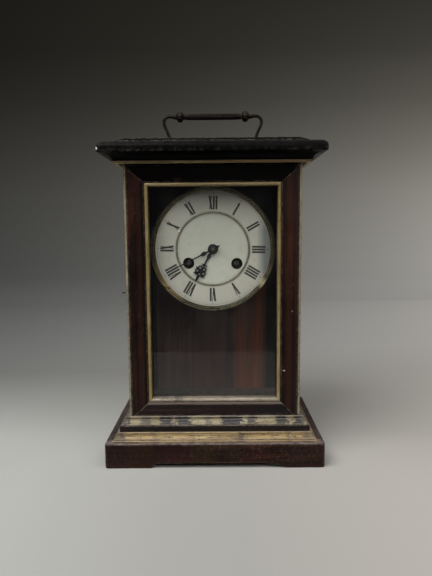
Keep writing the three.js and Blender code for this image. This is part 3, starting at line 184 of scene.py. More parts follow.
def round_section(p0, p1, q0, q1, radii, steps=3):
    """A rectangle with its own radius at each corner: (p0,q0), (p1,q0), (p1,q1), (p0,q1)."""
    section = []
    corners = [(p0, q0, 1, 1, 180), (p1, q0, -1, 1, 270), (p1, q1, -1, -1, 0), (p0, q1, 1, -1, 90)]
    for (p, q, sp, sq, start), r in zip(corners, radii):
        cp, cq = p + sp * r, q + sq * r
        for k in range(steps + 1):
            a = math.radians(start + 90 * k / steps)
            edge = 1.0 if 0 < k < steps else 0.55
            section.append((cp + r * math.cos(a), cq + r * math.sin(a), edge))
    return section


MIN_RADIUS = 0.15
UNEVEN = 0.35 * 1.6                       # how much a board's edge radius varies
SIDE_LENGTH = 130.0                       # of the case's sides, for spacing points along the mouldings
HANDS = ((-1, "left"), (1, "right"))


def side_counts(section, hold):
    """How many extra spans each side of a section gets: none on a short side."""
    counts = []
    for i, a in enumerate(section):
        b = section[(i + 1) % len(section)]
        length = math.hypot(b[0] - a[0], b[1] - a[1])
        counts.append(max(1, round(length / 9)) if length > 4 * hold else 0)
    return counts


def with_holds(section, hold, counts):
    """Adds points beside the rounded corners and along the flat sides, so that wear stays at the edges."""
    out = []
    for i, a in enumerate(section):
        b = section[(i + 1) % len(section)]
        out.append(a)
        length = math.hypot(b[0] - a[0], b[1] - a[1])
        margin = min(0.4, hold / max(length, 1e-6))
        for k in range(counts[i] + 1 if counts[i] else 0):
            t = margin + (1 - 2 * margin) * k / counts[i]
            out.append((a[0] + (b[0] - a[0]) * t, a[1] + (b[1] - a[1]) * t, 0.0))
    return out


def bar(name, axis, ends, limits, radius=0.7, step=5.0, hold=1.2, end_radius=None, seed=0.0):
    """A board along an axis (0, 1 or 2). limits(at) gives the four sides of its section there; its edges are
    rounded, uneven and worn."""
    start, end = ends
    length = end - start
    end_radius = radius if end_radius is None else end_radius
    near = [0.0, end_radius * 0.3 / length, end_radius / length, (end_radius + hold) / length]
    shares = near + [s for s in stations(0.0, 1.0, step / length) if near[-1] < s < 1 - near[-1]]
    shares += [1 - n for n in reversed(near)]
    counts = side_counts(round_section(*limits(start + length * 0.5), [radius] * 4), hold)
    rings, wears = [], []
    for s in shares:
        at = start + length * s
        p0, p1, q0, q1 = limits(at)
        from_end = min(s, 1 - s) * length
        inset = 0.0
        if from_end < end_radius:
            inset = end_radius - math.sqrt(max(0.0, end_radius ** 2 - (end_radius - from_end) ** 2))
        radii = [max(MIN_RADIUS, radius * (1 + UNEVEN * wobble(at, k * 37.0 + seed, seed, 0.11))) for k in range(4)]
        rise = min(inset, radius * 0.5)
        section = with_holds(round_section(p0 + inset, p1 - inset, q0 + rise, q1 - rise, radii), hold, counts)
        ring, worn = [], []
        for p, q, w in section:
            point = [p, q]
            point.insert(axis, at)
            ring.append(point)
            worn.append(max(w, 1.0 if from_end < end_radius * 0.9 else 0.0))
        rings.append(ring)
        wears.append(worn)
    return new_object(name, *loft(rings, wears))


def plain_board(node, axis, material, **options):
    """A wooden board of the case that fills its piece's box."""
    low, high = node_box(node)
    sides = [v for i in range(3) if i != axis for v in (low[i], high[i])]
    board = bar(node + "_board", axis, (low[axis], high[axis]), lambda at: sides, **options)
    dress(board, "case", material, "mahogany", node)


def arc(cx, cz, rx, rz, start, end, steps, wear=0.0):
    out = []
    for k in range(steps + 1):
        a = math.radians(start + (end - start) * k / steps)
        out.append((cx + rx * math.cos(a), cz + rz * math.sin(a), wear))
    return out


def round_case(o, back):
    """Four corners of a line that runs o outside the body, round its left side, its front and its right side."""
    side, front = BODY + o, FRONT - o
    return [(-side, back), (-side, front), (side, front), (side, back)]


def case_moulding(name, profile, rough=0.12, seed=0.0, corner_wear=0.6):
    """Runs a closed profile of (overhang, z, wear) round the left side, the front and the right side."""
    rings, wears = [], []
    for leg, (out_x, out_y) in enumerate(((-1, 0), (0, -1), (1, 0))):
        length = 2 * BODY if leg == 1 else SIDE_LENGTH
        shares = [0.0, 0.006] + [s for s in stations(0.0, 1.0, 4.0 / length) if 0.01 < s < 0.99] + [0.994, 1.0]
        for s in shares[1:] if leg else shares:
            open_end = (leg == 0 and s < 0.5) or (leg == 2 and s > 0.5)
            corner = min(s, 1 - s) * length < 1.6 and not open_end
            ring, worn = [], []
            for o, z, w in profile:
                (x0, y0), (x1, y1) = round_case(o, BACK)[leg:leg + 2]
                x, y = x0 + (x1 - x0) * s, y0 + (y1 - y0) * s
                nick = wobble(x, y, z + seed, 0.16) + 0.6 * wobble(x, y, z + seed, 0.5)
                push = rough * nick * (0.4 + 1.2 * max(w, 0.0))
                if corner or o < 0 or y > BACK - 0.01:
                    push = 0.0
                lift = push * 0.5 if w > 0 and o > 0 else 0.0
                ring.append((x + out_x * push, y + out_y * push, z + lift))
                worn.append(max(w, corner_wear if corner and o > 0 else 0.0))
            rings.append(ring)
            wears.append(worn)
    return new_object(name, *loft(rings, wears), sharp=35)


def lathe(name, profile, centre, sides, axis="Y", closed=True):
    """Turns a profile of (radius, along, wear) about an axis through centre. A closed profile makes a ring."""
    rings = []
    for k in range(sides):
        a = 2 * math.pi * k / sides
        ring = []
        for r, h, _ in profile:
            u, v = r * math.cos(a), r * math.sin(a)
            if axis == "Y":
                ring.append((centre[0] + u, h, centre[2] + v))
            elif axis == "X":
                ring.append((h, centre[1] + u, centre[2] + v))
            else:
                ring.append((centre[0] + u, centre[1] + v, h))
        rings.append(ring)
    wears = [[w for _, _, w in profile]] * sides
    obj = new_object(name, *loft(rings, wears, closed_ring=closed, closed_path=True, caps=False))
    bm = bmesh.new()
    bm.from_mesh(obj.data)
    bmesh.ops.remove_doubles(bm, verts=bm.verts, dist=1e-6)
    bmesh.ops.recalc_face_normals(bm, faces=bm.faces)
    bm.to_mesh(obj.data)
    bm.free()
    return obj


def joined(name, objects):
    bpy.ops.object.select_all(action="DESELECT")
    for obj in objects:
        obj.select_set(True)
    bpy.context.view_layer.objects.active = objects[0]
    bpy.ops.object.join()
    whole = bpy.context.view_layer.objects.active
    whole.name = name
    whole.data.name = name
    return whole


# ------------------------------------------------------------------ material helpers


class Nodes:
    def __init__(self, name):
        self.material = bpy.data.materials.new(name)
        self.material.use_nodes = True
        self.tree = self.material.node_tree
        self.shader = self.tree.nodes["Principled BSDF"]
        self.output = self.tree.nodes["Material Output"]
        self.coords = self.tree.nodes.new("ShaderNodeTexCoord").outputs["Object"]

    def add(self, kind, **settings):
        node = self.tree.nodes.new(kind)
        for key, value in settings.items():
            setattr(node, key, value)
        return node

    def link(self, source, target):
        self.tree.links.new(source, target)

    def feed(self, value, slot):
        """Gives a socket a number, a colour or another node's output."""
        if isinstance(value, (int, float)):
            slot.default_value = value
        elif isinstance(value, tuple):
            slot.default_value = (*value, 1.0)
        else:
            self.link(value, slot)

    def stretch(self, scale, offset):
        """The object's own coordinates, scaled by one factor or by one for each axis, and moved."""
        node = self.add("ShaderNodeMapping")
        node.inputs["Scale"].default_value = scale if hasattr(scale, "__len__") else (scale,) * 3
        node.inputs["Location"].default_value = offset
        self.link(self.coords, node.inputs["Vector"])
        return node.outputs["Vector"]

    def noise(self, scale, detail=4.0, rough=0.55, distortion=0.0, offset=(0, 0, 0)):
        node = self.add("ShaderNodeTexNoise")
        self.link(self.stretch(scale, offset), node.inputs["Vector"])
        node.inputs["Scale"].default_value = 1.0
        node.inputs["Detail"].default_value = detail
        node.inputs["Roughness"].default_value = rough
        node.inputs["Distortion"].default_value = distortion
        return node.outputs["Fac"]

    def cells(self, scale, offset):
        """The distance to the nearest of a field of scattered points."""
        node = self.add("ShaderNodeTexVoronoi")
        self.link(self.stretch(scale, offset), node.inputs["Vector"])
        node.inputs["Scale"].default_value = 1.0
        return node.outputs["Distance"]

    def ramp(self, value, stops):
        node = self.add("ShaderNodeValToRGB")
        ramp = node.color_ramp
        while len(ramp.elements) < len(stops):
            ramp.elements.new(0.5)
        for element, (place, colour) in zip(ramp.elements, stops):
            element.position = place
            element.color = (*colour, 1.0) if hasattr(colour, "__len__") else (colour, colour, colour, 1.0)
        self.link(value, node.inputs["Fac"])
        return node.outputs["Color"]

    def mask(self, value, low, high):
        """0 below low and 1 above high; the other way round where low is the larger."""
        node = self.add("ShaderNodeMapRange", clamp=True)
        node.inputs["From Min"].default_value = low
        node.inputs["From Max"].default_value = high
        self.link(value, node.inputs["Value"])
        return node.outputs["Result"]

    def math(self, kind, a, b=None):
        node = self.add("ShaderNodeMath", operation=kind)
        for slot, value in zip(node.inputs, (a, b)):
            if value is not None:
                self.feed(value, slot)
        return node.outputs[0]

    def times(self, *values):
        out = values[0]
        for value in values[1:]:
            out = self.math("MULTIPLY", out, value)
        return out

    def mix(self, share, a, b, blend="MIX"):
        node = self.add("ShaderNodeMix", data_type="RGBA", blend_type=blend)
        for index, value in ((0, share), (6, a), (7, b)):
            self.feed(value, node.inputs[index])
        return node.outputs[2]

    def plain_shader(self, kind, colour):
        node = self.add(kind)
        self.feed(colour, node.inputs["Color"])
        return node.outputs[0]

    def choose(self, share, first, second):
        """The shader first where share is 0, and second where it is 1."""
        node = self.add("ShaderNodeMixShader")
        for slot, source in zip(node.inputs, (share, first, second)):
            self.link(source, slot)
        return node.outputs[0]

    def show(self, shader):
        self.link(shader, self.output.inputs["Surface"])
        return self.material

    def wear(self):
        node = self.add("ShaderNodeAttribute", attribute_name="wear")
        return node.outputs["Fac"]

    def axis(self, index, of=None):
        node = self.add("ShaderNodeSeparateXYZ")
        self.link(self.coords if of is None else of, node.inputs[0])
        return node.outputs[index]

    def normal(self, index):
        geometry = self.add("ShaderNodeNewGeometry")
        return self.axis(index, geometry.outputs["Normal"])

    def near(self, point, radius, soft=0.4):
        """1 within radius millimetres of a point, falling to 0."""
        node = self.add("ShaderNodeVectorMath", operation="DISTANCE")
        self.link(self.coords, node.inputs[0])
        node.inputs[1].default_value = [c * MM for c in point]
        return self.mask(node.outputs["Value"], radius * MM, radius * (1 - soft) * MM)

    def band(self, axis, centre, half, soft=1.0, ragged=None):
        """1 within half millimetres of a place along an axis, with an edge that may be ragged."""
        away = self.math("ABSOLUTE", self.math("SUBTRACT", self.axis(axis), centre * MM))
        if ragged is not None:
            away = self.math("ADD", away, ragged)
        return self.mask(away, (half + soft) * MM, (half - soft) * MM)

    def finish(self, colour, rough, height=None, bump=0.2, distance=0.0005, metallic=0.0, specular=0.5):
        """Sets up the material's main shader, with a relief where height is given."""
        for value, slot in ((colour, "Base Color"), (rough, "Roughness"), (metallic, "Metallic"),
                            (specular, "Specular IOR Level")):
            self.feed(value, self.shader.inputs[slot])
        if height is not None:
            node = self.add("ShaderNodeBump")
            node.inputs["Strength"].default_value = bump
            node.inputs["Distance"].default_value = distance
            self.link(height, node.inputs["Height"])
            self.link(node.outputs["Normal"], self.shader.inputs["Normal"])
        return self.material


def grain_scale(axis, along, across):
    scale = [across, across, across]
    scale[axis] = along
    return tuple(scale)


def wood(name, axis, dark, mid, light, worn, rough=0.42, wear_amount=1.0, seed=0.0, dust=0.35, scratches=0.5,
         red=None, spots=(), specular=0.2, tints_and_light_bands=(), dust_colour=(0.30, 0.25, 0.235), mottle=0.0):
    """Polished, worn wood with its grain along an axis."""
    n = Nodes(name)
    offset = (seed, seed * 1.7, seed * 2.3)
    fine = n.noise(grain_scale(axis, 14, 900), 5, 0.65, 0.2, offset)
    figure = n.noise(grain_scale(axis, 5, 150), 3, 0.5, 0.6, offset)
    broad = n.noise(grain_scale(axis, 9, 30), 2, 0.5, 0.3, offset)
    base = n.ramp(figure, [(0.3, dark), (0.52, mid), (0.72, light)])
    pores = n.mask(fine, 0.5, 0.36)
    base = n.mix(n.times(pores, 0.65), base, scaled(dark, 0.35))
    lines = n.noise(grain_scale(axis, 12, 400), 5, 0.7, 0.4, moved(offset, 7))
    base = n.mix(n.times(n.mask(lines, 0.52, 0.66), 0.7), base, scaled(light, 1.7))
    base = n.mix(n.times(n.mask(lines, 0.47, 0.36), 0.7), base, scaled(dark, 0.3))
    if mottle > 0:
        spots_of = n.noise(330, 5, 0.75, 0.4, moved(offset, 11))
        base = n.mix(n.times(n.mask(spots_of, 0.53, 0.64), mottle), base, scaled(light, 2.2))
        base = n.mix(n.times(n.mask(spots_of, 0.46, 0.36), mottle), base, scaled(dark, 0.3))
    base = n.mix(n.mask(broad, 0.42, 0.7), base, scaled(dark, 0.75))
    if red is not None:
        flush = n.noise(grain_scale(axis, 11, 75), 3, 0.6, 0.5, moved(offset, 3.1))
        base = n.mix(n.times(n.mask(flush, 0.55, 0.75), 0.75), base, red)
    uneven = n.noise(70, 4, 0.65, 0.8, offset)
    # Bands of tint along an axis. On the stiles they are painted light: reddish painted highlights and dark painted
    # shade beside the beads.
    for tint_axis, centre, half, colour, strength in tints_and_light_bands:
        narrow = half < 5
        sway = n.times(n.math("SUBTRACT", uneven, 0.5), 0.0015 if narrow else 0.03)
        here = n.band(tint_axis, centre, half, half * 0.5, sway)
        if not narrow:
            here = n.times(here, n.mask(uneven, 0.25, 0.7))
        base = n.mix(n.times(here, strength), base, colour)
    # Fine scratches and specks.
    scratch_cells = n.noise(grain_scale((axis + 1) % 3, 260, 30), 5, 0.7, 1.2, offset)
    scratch = n.mask(scratch_cells, 0.69, 0.76)
    specks = n.cells(420, offset)
    speck = n.times(n.mask(specks, 0.16, 0.1), n.mask(n.noise(60, 2, 0.5, 0, offset), 0.56, 0.66))
    light_marks = n.math("MAXIMUM", scratch, speck)
    base = n.mix(n.times(light_marks, scratches), base, worn)
    # Edges rubbed through.
    rub = n.noise(240, 5, 0.7, 0.4, offset)
    edge = n.times(n.wear(), n.mask(rub, 0.6 - 0.16 * wear_amount, 0.72))
    base = n.mix(edge, base, worn)
    # Dust on ledges.
    lying = n.times(n.mask(n.normal(2), 0.55, 0.95), n.mask(n.noise(130, 4, 0.6, 0, offset), 0.25, 0.75))
    base = n.mix(n.times(lying, dust), base, dust_colour)
    for point, radius, colour in spots:
        base = n.mix(n.near(point, radius), base, colour)
    blotch = n.noise(45, 4, 0.6, 0.5, offset)
    rough_map = n.ramp(blotch, [(0.3, rough - 0.1), (0.7, rough + 0.14)])
    rough_map = n.mix(n.math("MAXIMUM", edge, lying), rough_map, (0.75, 0.75, 0.75))
    height = n.mix(0.5, n.mix(0.6, fine, figure), n.mix(light_marks, (0.6, 0.6, 0.6), (0.2, 0.2, 0.2)))
    return n.finish(base, rough_map, height, bump=0.22, distance=0.0004, specular=specular)


def gilt(name, axis, gold, pale, brown, worn, seed, metallic, edge_pale=0.6, spots=(), dust=0.3, patches=(),
         flecks=0.0, streaks=0.0, flank_painted_shade=0.0):
    """Old gilding: gold with brown shading, dark rubbed places, and larger patches where it has gone. Where asked, the
    flanks of a bead and the grooves are painted dark as shade.
    """
    n = Nodes(name)
    dark = GILT_DARK
    offset = (seed, seed * 1.3, seed * 2.1)
    tone = n.noise(grain_scale(axis, 22, 160), 4, 0.6, 0.3, offset)
    base = n.ramp(tone, [(0.3, scaled(gold, 0.55)), (0.5, gold), (0.72, pale)])
    shade = n.noise(grain_scale(axis, 35, 420), 4, 0.65, 0.4, moved(offset, 5))
    browned = n.mask(shade, 0.66 - 0.22 * worn, 0.8 - 0.12 * worn)
    base = n.mix(n.times(browned, 0.85), base, brown)
    grime = n.noise(grain_scale(axis, 180, 520), 5, 0.7, 0.5, moved(offset, 9))
    rubbed = n.mask(grime, 0.7 - 0.14 * worn, 0.76 - 0.1 * worn)
    gone = rubbed
    if patches:
        ragged = n.times(n.math("SUBTRACT", n.noise((120, 120, 330), 6, 0.72, 1.2, offset), 0.5), 0.034)
        holes = n.noise((260, 260, 420), 5, 0.72, 0.6, moved(offset, 17))
        shades = n.noise(150, 3, 0.6, 0.5, moved(offset, 21))
        for centre, half, colour, strength in patches:
            here = n.times(n.band(axis, centre, half, 0.5, ragged), n.mask(holes, 0.66, 0.61), strength)
            bright = tuple(min(1, c * 1.5) for c in colour)
            shade_of = n.ramp(shades, [(0.3, scaled(colour, 0.6)), (0.7, bright)])
            base = n.mix(here, base, shade_of)
            gone = n.math("MAXIMUM", gone, here)
    if flecks > 0:
        specks = n.noise((700, 700, 560), 4, 0.7, 0.2, moved(offset, 25))
        fleck = n.mask(specks, 0.66 - 0.1 * flecks, 0.7 - 0.1 * flecks)
        base = n.mix(n.times(fleck, 0.85), base, scaled(dark, 2.2))
        gone = n.math("MAXIMUM", gone, n.times(fleck, 0.7))
    if streaks > 0:
        streak = n.noise(grain_scale(axis, 90, 900), 5, 0.7, 0.6, moved(offset, 29))
        cut = n.mask(streak, 0.64 - 0.1 * streaks, 0.68 - 0.1 * streaks)
        base = n.mix(n.times(cut, 0.9), base, scaled(dark, 1.6))
        gone = n.math("MAXIMUM", gone, n.times(cut, 0.7))
    base = n.mix(rubbed, base, dark)
    wear_and_shade_marks = n.wear()
    edge = n.times(n.math("MAXIMUM", wear_and_shade_marks, 0.0), n.mask(n.noise(300, 4, 0.6, 0, offset), 0.3, 0.6))
    base = n.mix(n.times(edge, edge_pale), base, pale)
    # Painted shade: where wear is low, at the flanks beside a bead's crest, the gilding is darkened.
    if flank_painted_shade > 0:
        base = n.mix(n.times(n.mask(wear_and_shade_marks, 0.6, 0.05), flank_painted_shade), base, scaled(dark, 1.5))
    lying = n.times(n.mask(n.normal(2), 0.8, 0.97), n.mask(n.noise(160, 3, 0.6, 0, offset), 0.25, 0.75))
    base = n.mix(n.times(lying, dust), base, GILT_DUST)
    # Painted shade: where wear is below 0, in a groove, the gilding is painted dark.
    base = n.mix(n.times(n.mask(wear_and_shade_marks, -0.1, -0.7), 0.92), base, dark)
    for point, radius, colour in spots:
        base = n.mix(n.near(point, radius), base, colour)
    metal = n.math("SUBTRACT", metallic, n.times(gone, metallic))
    rough_map = n.ramp(tone, [(0.3, 0.52), (0.7, 0.38)])
    rough_map = n.mix(gone, rough_map, (0.6, 0.6, 0.6))
    height = n.mix(0.4, n.mix(0.5, tone, shade), n.mix(gone, (0.7, 0.7, 0.7), (0.2, 0.2, 0.2)))
    return n.finish(base, rough_map, height, bump=0.3, distance=0.0004, metallic=metal, specular=0.5)


def metal(name, base, tarnish, rough=0.35, amount=0.5, scale=90, seed=0.0, metallic=1.0, edge=None, specular=0.5,
          up_painted_shade=0.0, spots=()):
    """Old metal: tarnish in clouds, fine scratches, brighter rubbed edges. Where asked, faces that look up get painted
    shade and the given spots get painted highlights.
    """
    n = Nodes(name)
    offset = (seed, seed * 1.3, seed * 2.1)
    cloud = n.noise(scale, 5, 0.65, 0.4, offset)
    fine = n.noise(scale * 14, 4, 0.7, 0, offset)
    colour = n.mix(n.times(n.mask(cloud, 0.62 - 0.3 * amount, 0.75 - 0.2 * amount), 0.9), base, tarnish)
    colour = n.mix(n.times(n.mask(fine, 0.55, 0.75), 0.35), colour, scaled(base, 0.55))
    spot = n.cells(scale * 9, offset)
    colour = n.mix(n.times(n.mask(spot, 0.2, 0.12), n.mask(cloud, 0.5, 0.65)), colour, scaled(tarnish, 0.3))
    if edge is not None:
        rub = n.times(n.wear(), n.mask(n.noise(400, 4, 0.6, 0, offset), 0.35, 0.62))
        colour = n.mix(rub, colour, edge)
    # Painted shade: faces that look up are darkened towards the tarnish.
    if up_painted_shade > 0:
        colour = n.mix(n.times(n.mask(n.normal(2), 0.0, 0.6), up_painted_shade), colour, scaled(tarnish, 0.25))
    # Painted highlights: glints are painted at the given spots.
    for point, radius, tone in spots:
        colour = n.mix(n.times(n.near(point, radius, 0.9), n.mask(fine, 0.25, 0.5)), colour, tone)
    rough_map = n.ramp(cloud, [(0.3, max(0.05, rough - 0.08)), (0.7, rough + 0.16)])
    return n.finish(colour, rough_map, n.mix(0.5, cloud, fine), bump=0.12, distance=0.0003, metallic=metallic,
                    specular=specular)


# ------------------------------------------------------------------ materials

GILT_DARK, GILT_DUST = (0.018, 0.015, 0.014), (0.34, 0.29, 0.27)
DARK = (0.010, 0.0055, 0.005)
RED_DARK = (0.020, 0.0075, 0.006)
RED_MID = (0.040, 0.012, 0.009)
RED_LIGHT = (0.070, 0.022, 0.015)
WORN = (0.30, 0.24, 0.19)

stile_wood = wood(
    "stile_wood", 2, (0.007, 0.0045, 0.004), (0.014, 0.0065, 0.0055), (0.026, 0.010, 0.008), WORN, rough=0.38,
    red=(0.058, 0.018, 0.0095), seed=1.0, dust=0.3, scratches=0.5, mottle=0.35, specular=0.12,
    spots=(((77.0, FRONT, 102.8), 0.8, (0.5, 0.45, 0.4)), ((78.2, FRONT, 102.7), 0.9, (0.5, 0.45, 0.4)),
           ((86.3, FRONT, 169.5), 0.7, (0.40, 0.38, 0.34))),
    # Painted light: the reddish bands are painted highlights along the stiles, and the dark ones are painted shade
    # beside the beads.
    tints_and_light_bands=((0, 83.0, 3.4, (0.068, 0.021, 0.012), 0.4), (0, 91.0, 2.4, (0.028, 0.018, 0.014), 0.5),
           (0, -80.0, 3.0, (0.046, 0.015, 0.009), 0.35), (0, -76.5, 1.6, (0.004, 0.003, 0.002), 0.7)))
rail_top_wood = wood(
    "rail_top_wood", 0, (0.0012, 0.0009, 0.0009), (0.0024, 0.0016, 0.0013), (0.006, 0.003, 0.0022), WORN, rough=0.42,
    seed=2.0, scratches=0.12, specular=0.04,
    spots=(((-41.0, FRONT, 313.4), 1.6, (0.022, 0.010, 0.010)), ((-37.5, FRONT, 313.2), 1.8, (0.026, 0.011, 0.011)),
           ((-34.0, FRONT, 313.5), 1.6, (0.020, 0.009, 0.009))))
rail_bottom_wood = wood(
    "rail_bottom_wood", 0, (0.010, 0.0065, 0.007), (0.016, 0.009, 0.009), (0.027, 0.014, 0.013), WORN, rough=0.4,
    seed=3.0,
    scratches=0.35, mottle=0.3, tints_and_light_bands=((2, SIGHT_BOTTOM - 1.2, 1.5, (0.20, 0.155, 0.135), 0.9),))
side_wood = wood("side_wood", 2, DARK, RED_DARK, RED_MID, WORN, rough=0.4, red=RED_LIGHT, seed=4.0, scratches=0.35)
PLINTH_DARK, PLINTH_MID, PLINTH_LIGHT = (0.012, 0.007, 0.006), (0.023, 0.011, 0.008), (0.042, 0.019, 0.012)
PLINTH_WORN = (0.17, 0.135, 0.115)
plinth_wood = wood(
    "plinth_wood", 0, PLINTH_DARK, PLINTH_MID, PLINTH_LIGHT, PLINTH_WORN, rough=0.42, red=(0.050, 0.017, 0.012),
    seed=5.0,
    scratches=0.95, dust=0.9, dust_colour=(0.29, 0.24, 0.215), mottle=0.85, specular=0.1,
    tints_and_light_bands=((0, -108.0, 12.0, (0.020, 0.011, 0.015), 0.6), (0, -80.0, 16.0, (0.055, 0.022, 0.010), 0.55),
           (0, -46.0, 18.0, (0.050, 0.012, 0.012), 0.4), (0, -13.0, 12.0, (0.034, 0.024, 0.012), 0.55),
           (0, 44.0, 15.0, (0.055, 0.015, 0.012), 0.4), (0, 20.0, 8.0, (0.036, 0.022, 0.013), 0.5),
           (0, 95.0, 16.0, (0.026, 0.017, 0.013), 0.5)))
plinth_side_wood = wood("plinth_side_wood", 1, PLINTH_DARK, PLINTH_MID, PLINTH_LIGHT, PLINTH_WORN, rough=0.42,
                        red=(0.050, 0.017, 0.012), seed=6.0, scratches=0.6, dust=0.85, dust_colour=(0.13, 0.105, 0.098),
                        mottle=0.5, specular=0.1)
cornice_wood = wood(
    "cornice_wood", 0, (0.0015, 0.0015, 0.0015), (0.003, 0.0027, 0.0027), (0.006, 0.005, 0.005), (0.060, 0.055, 0.050),
    rough=0.34, wear_amount=0.8, seed=7.0, dust=0.08, scratches=0.3, specular=0.04,
    spots=(((-BODY - OVERHANG, FRONT - OVERHANG, 342.5), 1.8, (0.75, 0.73, 0.68)),))
crown_wood = wood(
    "crown_wood", 0, (0.0025, 0.002, 0.002), (0.0045, 0.004, 0.0035), (0.009, 0.0075, 0.007), (0.15, 0.14, 0.12),
    rough=0.5, seed=8.0, dust=0.0, scratches=0.2, specular=0.05)
floor_wood = wood("floor_wood", 0, (0.010, 0.007, 0.0055), (0.017, 0.010, 0.0075), (0.026, 0.015, 0.011), WORN,
                  rough=0.42,
                  seed=9.0, scratches=0.15, dust=0.5, specular=0.2)
inner_wood = wood("inner_wood", 2, (0.012, 0.007, 0.006), (0.03, 0.015, 0.012), (0.06, 0.03, 0.022), WORN, rough=0.6,
                  seed=10.0, scratches=0.1)


def back_board_material():
    """Stained board; inside, its edges are painted black-green, and the part behind the dial carries painted shadow in
    the same black-green.
    """
    n = Nodes("back_board_wood")
    fine = n.noise((900, 900, 12), 5, 0.65, 0.2)
    figure = n.noise((150, 150, 4), 3, 0.5, 0.6)
    base = n.ramp(figure, [(0.3, (0.052, 0.027, 0.025)), (0.5, (0.072, 0.036, 0.034)), (0.7, (0.096, 0.046, 0.042))])
    cloud = n.noise((38, 38, 22), 4, 0.6, 0.6, (1, 8, 3))
    base = n.mix(n.times(n.mask(cloud, 0.52, 0.36), 0.5), base, (0.03, 0.017, 0.016))
    x, z = n.axis(0), n.axis(2)
    ray = n.noise((75, 75, 3), 3, 0.6, 0.4, (4, 4, 4))
    redder = n.times(n.mask(x, 0.022, 0.045), n.mask(ray, 0.15, 0.68))
    base = n.mix(redder, base, (0.33, 0.085, 0.029))
    base = n.mix(n.times(n.mask(fine, 0.5, 0.36), 0.5), base, (0.012, 0.006, 0.006))
    paint = n.math("MAXIMUM", n.mask(x, 0.063, 0.071), n.mask(x, -0.0775, -0.0795))
    # Painted shadow: behind the dial, above about 0.2 m, the board is darkened as the dial's shade.
    high = n.mask(n.math("ADD", z, n.times(n.noise(60, 3), 0.02)), 0.196, 0.226)
    paint = n.math("MAXIMUM", paint, high)
    inside = n.mask(n.normal(1), 0.5, -0.5)
    base = n.mix(n.times(paint, inside), base, (0.0035, 0.0055, 0.0045))
    outside = n.mask(n.normal(1), -0.5, 0.5)
    pale = n.ramp(figure, [(0.3, (0.05, 0.028, 0.016)), (0.5, (0.09, 0.052, 0.03)), (0.7, (0.14, 0.085, 0.05))])
    pale = n.mix(n.times(n.mask(fine, 0.52, 0.38), 0.6), pale, (0.03, 0.017, 0.01))
    base = n.mix(outside, base, pale)
    return n.finish(base, 0.62, n.mix(0.5, fine, figure), bump=0.25, distance=0.0004, specular=0.3)


gilt_upper = gilt(
    "gilt_upper", 0, gold=(0.33, 0.275, 0.16), pale=(0.47, 0.42, 0.31), brown=(0.12, 0.09, 0.055), worn=0.45, seed=1.0,
    metallic=0.15, dust=0.7, flecks=0.9, edge_pale=0.45,
    patches=(
        (-100.0, 4.0, (0.012, 0.014, 0.011), 1.0), (-77.0, 6.0, (0.070, 0.055, 0.045), 0.85),
        (-54.5, 6.5, (0.013, 0.013, 0.014), 1.0), (-35.0, 8.5, (0.015, 0.015, 0.017), 1.0),
        (-8.0, 4.0, (0.09, 0.078, 0.066), 0.75), (18.5, 11.0, (0.014, 0.014, 0.017), 1.0),
        (41.0, 5.5, (0.035, 0.028, 0.027), 0.9), (75.0, 6.0, (0.012, 0.013, 0.009), 1.0),
        (95.0, 6.5, (0.014, 0.015, 0.010), 1.0),
    ),
)
gilt_lower = gilt(
    "gilt_lower", 0, gold=(0.36, 0.245, 0.10), pale=(0.47, 0.35, 0.18), brown=(0.19, 0.11, 0.045), worn=0.4, seed=2.0,
    metallic=0.15, dust=0.7, streaks=1.0, flecks=0.6, edge_pale=0.45,
    patches=(
        (-106.0, 7.0, (0.070, 0.060, 0.036), 0.8), (-66.0, 3.0, (0.09, 0.065, 0.036), 0.45),
        (28.0, 3.5, (0.04, 0.028, 0.016), 0.7), (104.0, 6.0, (0.085, 0.075, 0.045), 0.6),
        (82.0, 2.5, (0.045, 0.035, 0.02), 0.6), (-25.0, 2.5, (0.09, 0.06, 0.03), 0.4),
    ),
)
gilt_cornice = gilt(
    "gilt_cornice", 0, gold=(0.42, 0.28, 0.12), pale=(0.62, 0.48, 0.27), brown=(0.10, 0.055, 0.028), worn=0.5, seed=3.0,
    metallic=0.5, dust=0.1, flecks=0.3, flank_painted_shade=0.6)
gilt_bead = gilt(
    "gilt_bead", 2, gold=(0.28, 0.22, 0.11), pale=(0.58, 0.52, 0.38), brown=(0.085, 0.06, 0.03), worn=0.75, seed=4.0,
    metallic=0.3, flecks=0.8, streaks=0.5, flank_painted_shade=0.8,
    patches=((128.0, 70.0, (0.048, 0.041, 0.026), 0.85), (235.0, 22.0, (0.13, 0.10, 0.05), 0.4),
             (75.0, 14.0, (0.045, 0.04, 0.028), 0.7)))
gilt_bead_right = gilt(
    "gilt_bead_right", 2, gold=(0.30, 0.235, 0.12), pale=(0.60, 0.54, 0.42), brown=(0.11, 0.07, 0.03), worn=0.75,
    seed=5.0, metallic=0.3, flecks=0.7, streaks=0.4, flank_painted_shade=0.8,
    patches=((140.0, 34.0, (0.12, 0.095, 0.055), 0.6), (222.0, 14.0, (0.085, 0.05, 0.025), 0.7),
             (85.0, 14.0, (0.06, 0.048, 0.03), 0.7)))
gilt_sight = gilt(
    "gilt_sight", 2, gold=(0.31, 0.215, 0.072), pale=(0.48, 0.38, 0.18), brown=(0.10, 0.06, 0.022), worn=0.65, seed=6.0,
    metallic=0.45, flecks=0.6, streaks=0.5, flank_painted_shade=0.85)
gilt_sight_top = gilt(
    "gilt_sight_top", 0, gold=(0.26, 0.19, 0.08), pale=(0.42, 0.34, 0.19), brown=(0.12, 0.075, 0.03), worn=0.6,
    seed=7.0,
    metallic=0.4, streaks=0.4, flecks=0.3, flank_painted_shade=0.7, spots=(((-10.5, FRONT + 0.5, 308.6), 1.0, (0.015, 0.012, 0.01)),))
